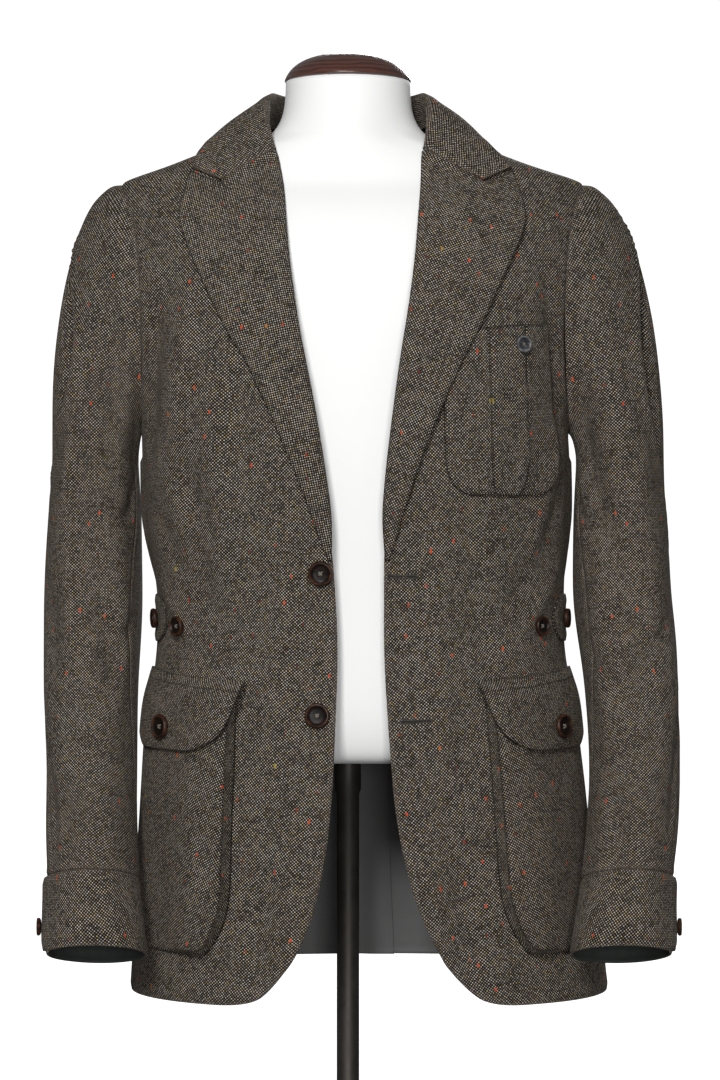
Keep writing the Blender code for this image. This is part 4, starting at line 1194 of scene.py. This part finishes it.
# worked buttonholes: eyelet end and far end as the camera sees them, across and up
buttonholes = {
    "upperButtonhole": ("front_left", (0.0357, 0.5005), (0.0592, 0.5000)),
    "lowerButtonhole": ("front_left", (0.0460, 0.3785), (0.0705, 0.3795)),
    "lapelEyelet": ("lapel_left", (0.1250, 0.8055), (0.1262, 0.8060)),
}
holeShape = {
    "eyelet": 0.0013,
    "eyeletSteps": 16,
    "slit": 0.00045,
    "slitSteps": 12,
    "slitLift": 0.00022,
    "edging": 0.00050,
    "edgingSides": 8,
    "edgingOut": 0.00075,
    "edgingLift": 0.000088,
}


def holeOutline(length, spread):
    # eyelet, then the two sides of the slit, as places along and across
    radius, half = holeShape["eyelet"] + spread, holeShape["slit"] + spread
    first = math.asin(min(half / radius, 1.0))
    outline = []
    for step in range(holeShape["eyeletSteps"] + 1):
        turn = first + (2 * math.pi - 2 * first) * step / holeShape["eyeletSteps"]
        outline.append((radius * math.cos(turn), radius * math.sin(turn)))
    runs = [length * step / holeShape["slitSteps"] for step in range(1, holeShape["slitSteps"] + 1)]
    return outline + [(run, -half) for run in runs] + [(run, half) for run in reversed(runs)]


def buttonhole(name, host, start, end):
    points = meshPoints(made[host].data)
    tree = BVHTree.FromPolygons(points.tolist(), [tuple(face.vertices) for face in made[host].data.polygons])
    along = Vector((end[0] - start[0], 0.0, end[1] - start[1]))
    length = along.length
    along.normalize()
    across = Vector((-along.z, 0.0, along.x))

    def onCloth(spread, lift):
        path = []
        for run, aside in holeOutline(length, spread):
            place = Vector((start[0], -1.0, start[1])) + along * run + across * aside
            spot, normal, _, _ = tree.ray_cast(place, Vector((0.0, 1.0, 0.0)))
            path.append(spot + normal * lift)
        return path

    # the slit is a near-black sheet laid on the cloth: painted shade where the opening would be
    shadowSheet = bmesh.new()
    shadowSheet.faces.new([shadowSheet.verts.new(spot) for spot in onCloth(0.0, holeShape["slitLift"])])
    bmesh.ops.triangulate(shadowSheet, faces=shadowSheet.faces[:])
    finishPiece(name + "SlitShade", toMesh(shadowSheet, name), "slit")
    path = onCloth(holeShape["edgingOut"], holeShape["edgingLift"])
    edging = toMesh(tube(path, holeShape["edging"], holeShape["edgingSides"], True), name)
    smoothByAngle(edging, threadAngle)
    finishPiece(name + "Edging", edging, "edging")


for name, (host, start, end) in buttonholes.items():
    buttonhole(name, host, start, end)
print("buttonholes worked,", len(buttonholes))

buttonNames = [name for name in nodes if "button" in name]
for name in sorted(buttonNames):
    grey = name == "chest_button"
    buttonPiece(name, "greyHorn" if grey else "horn")
print("buttons turned,", len(buttonNames))

# dress form and cap: refinement, and the angles in degrees from which an edge stays sharp
formShape = {"levels": 2, "coverRim": 50, "capRim": 60, "capSmooth": 45}
formMesh = smoothedCopy("form_body", formShape["levels"], formShape["coverRim"])
formMesh.polygons.foreach_set("use_smooth", [True] * len(formMesh.polygons))
finishPiece("form_body_cover", formMesh, "formCover", ["form_body"])
capMesh = smoothedCopy("neck_cap", formShape["levels"], formShape["capRim"])
smoothByAngle(capMesh, formShape["capSmooth"])
finishPiece("neck_cap_turned", capMesh, "darkWood", ["neck_cap"])

# pole with a collar at each end, and a round base with a rolled edge
standShape = {
    "smoothAngle": 35,
    "poleSides": 48,
    "waist": 0.86,
    "footCollar": 0.020,
    "topCollar": 0.026,
    "collarSlope": 0.004,
    "baseSides": 96,
    "baseBevel": 0.002,
    "edgeUp": 0.60,
    "rollUp": 0.80,
    "rollIn": 0.0015,
    "topIn": 0.006,
}


def turnedStand(nodeName, meshName, profile, sides):
    mesh = toMesh(lathe(profile, sides), meshName)
    smoothByAngle(mesh, standShape["smoothAngle"])
    finishPiece(nodeName + "_turned", mesh, "darkSteel", [nodeName])


def standPieces():
    shape = standShape
    low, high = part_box("stand_pole")
    radius = (high.x - low.x) / 2
    waist = radius * shape["waist"]
    foot, top = low.z + shape["footCollar"], high.z - shape["topCollar"]
    slope = shape["collarSlope"]
    turnedStand("stand_pole", "standPole", [
        (0.0, low.z), (radius, low.z), (radius, foot), (waist, foot + slope), (waist, top - slope),
        (radius, top), (radius, high.z), (0.0, high.z)], shape["poleSides"])
    low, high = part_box("stand_base")
    radius, thick = (high.x - low.x) / 2, high.z
    bevel = shape["baseBevel"]
    turnedStand("stand_base", "standBase", [
        (0.0, 0.0), (radius - bevel, 0.0), (radius, bevel), (radius, thick * shape["edgeUp"]),
        (radius - shape["rollIn"], thick * shape["rollUp"]), (radius - shape["topIn"], thick),
        (radius * 0.5, thick), (0.0, thick)], shape["baseSides"])


standPieces()
print("dress form and stand made")
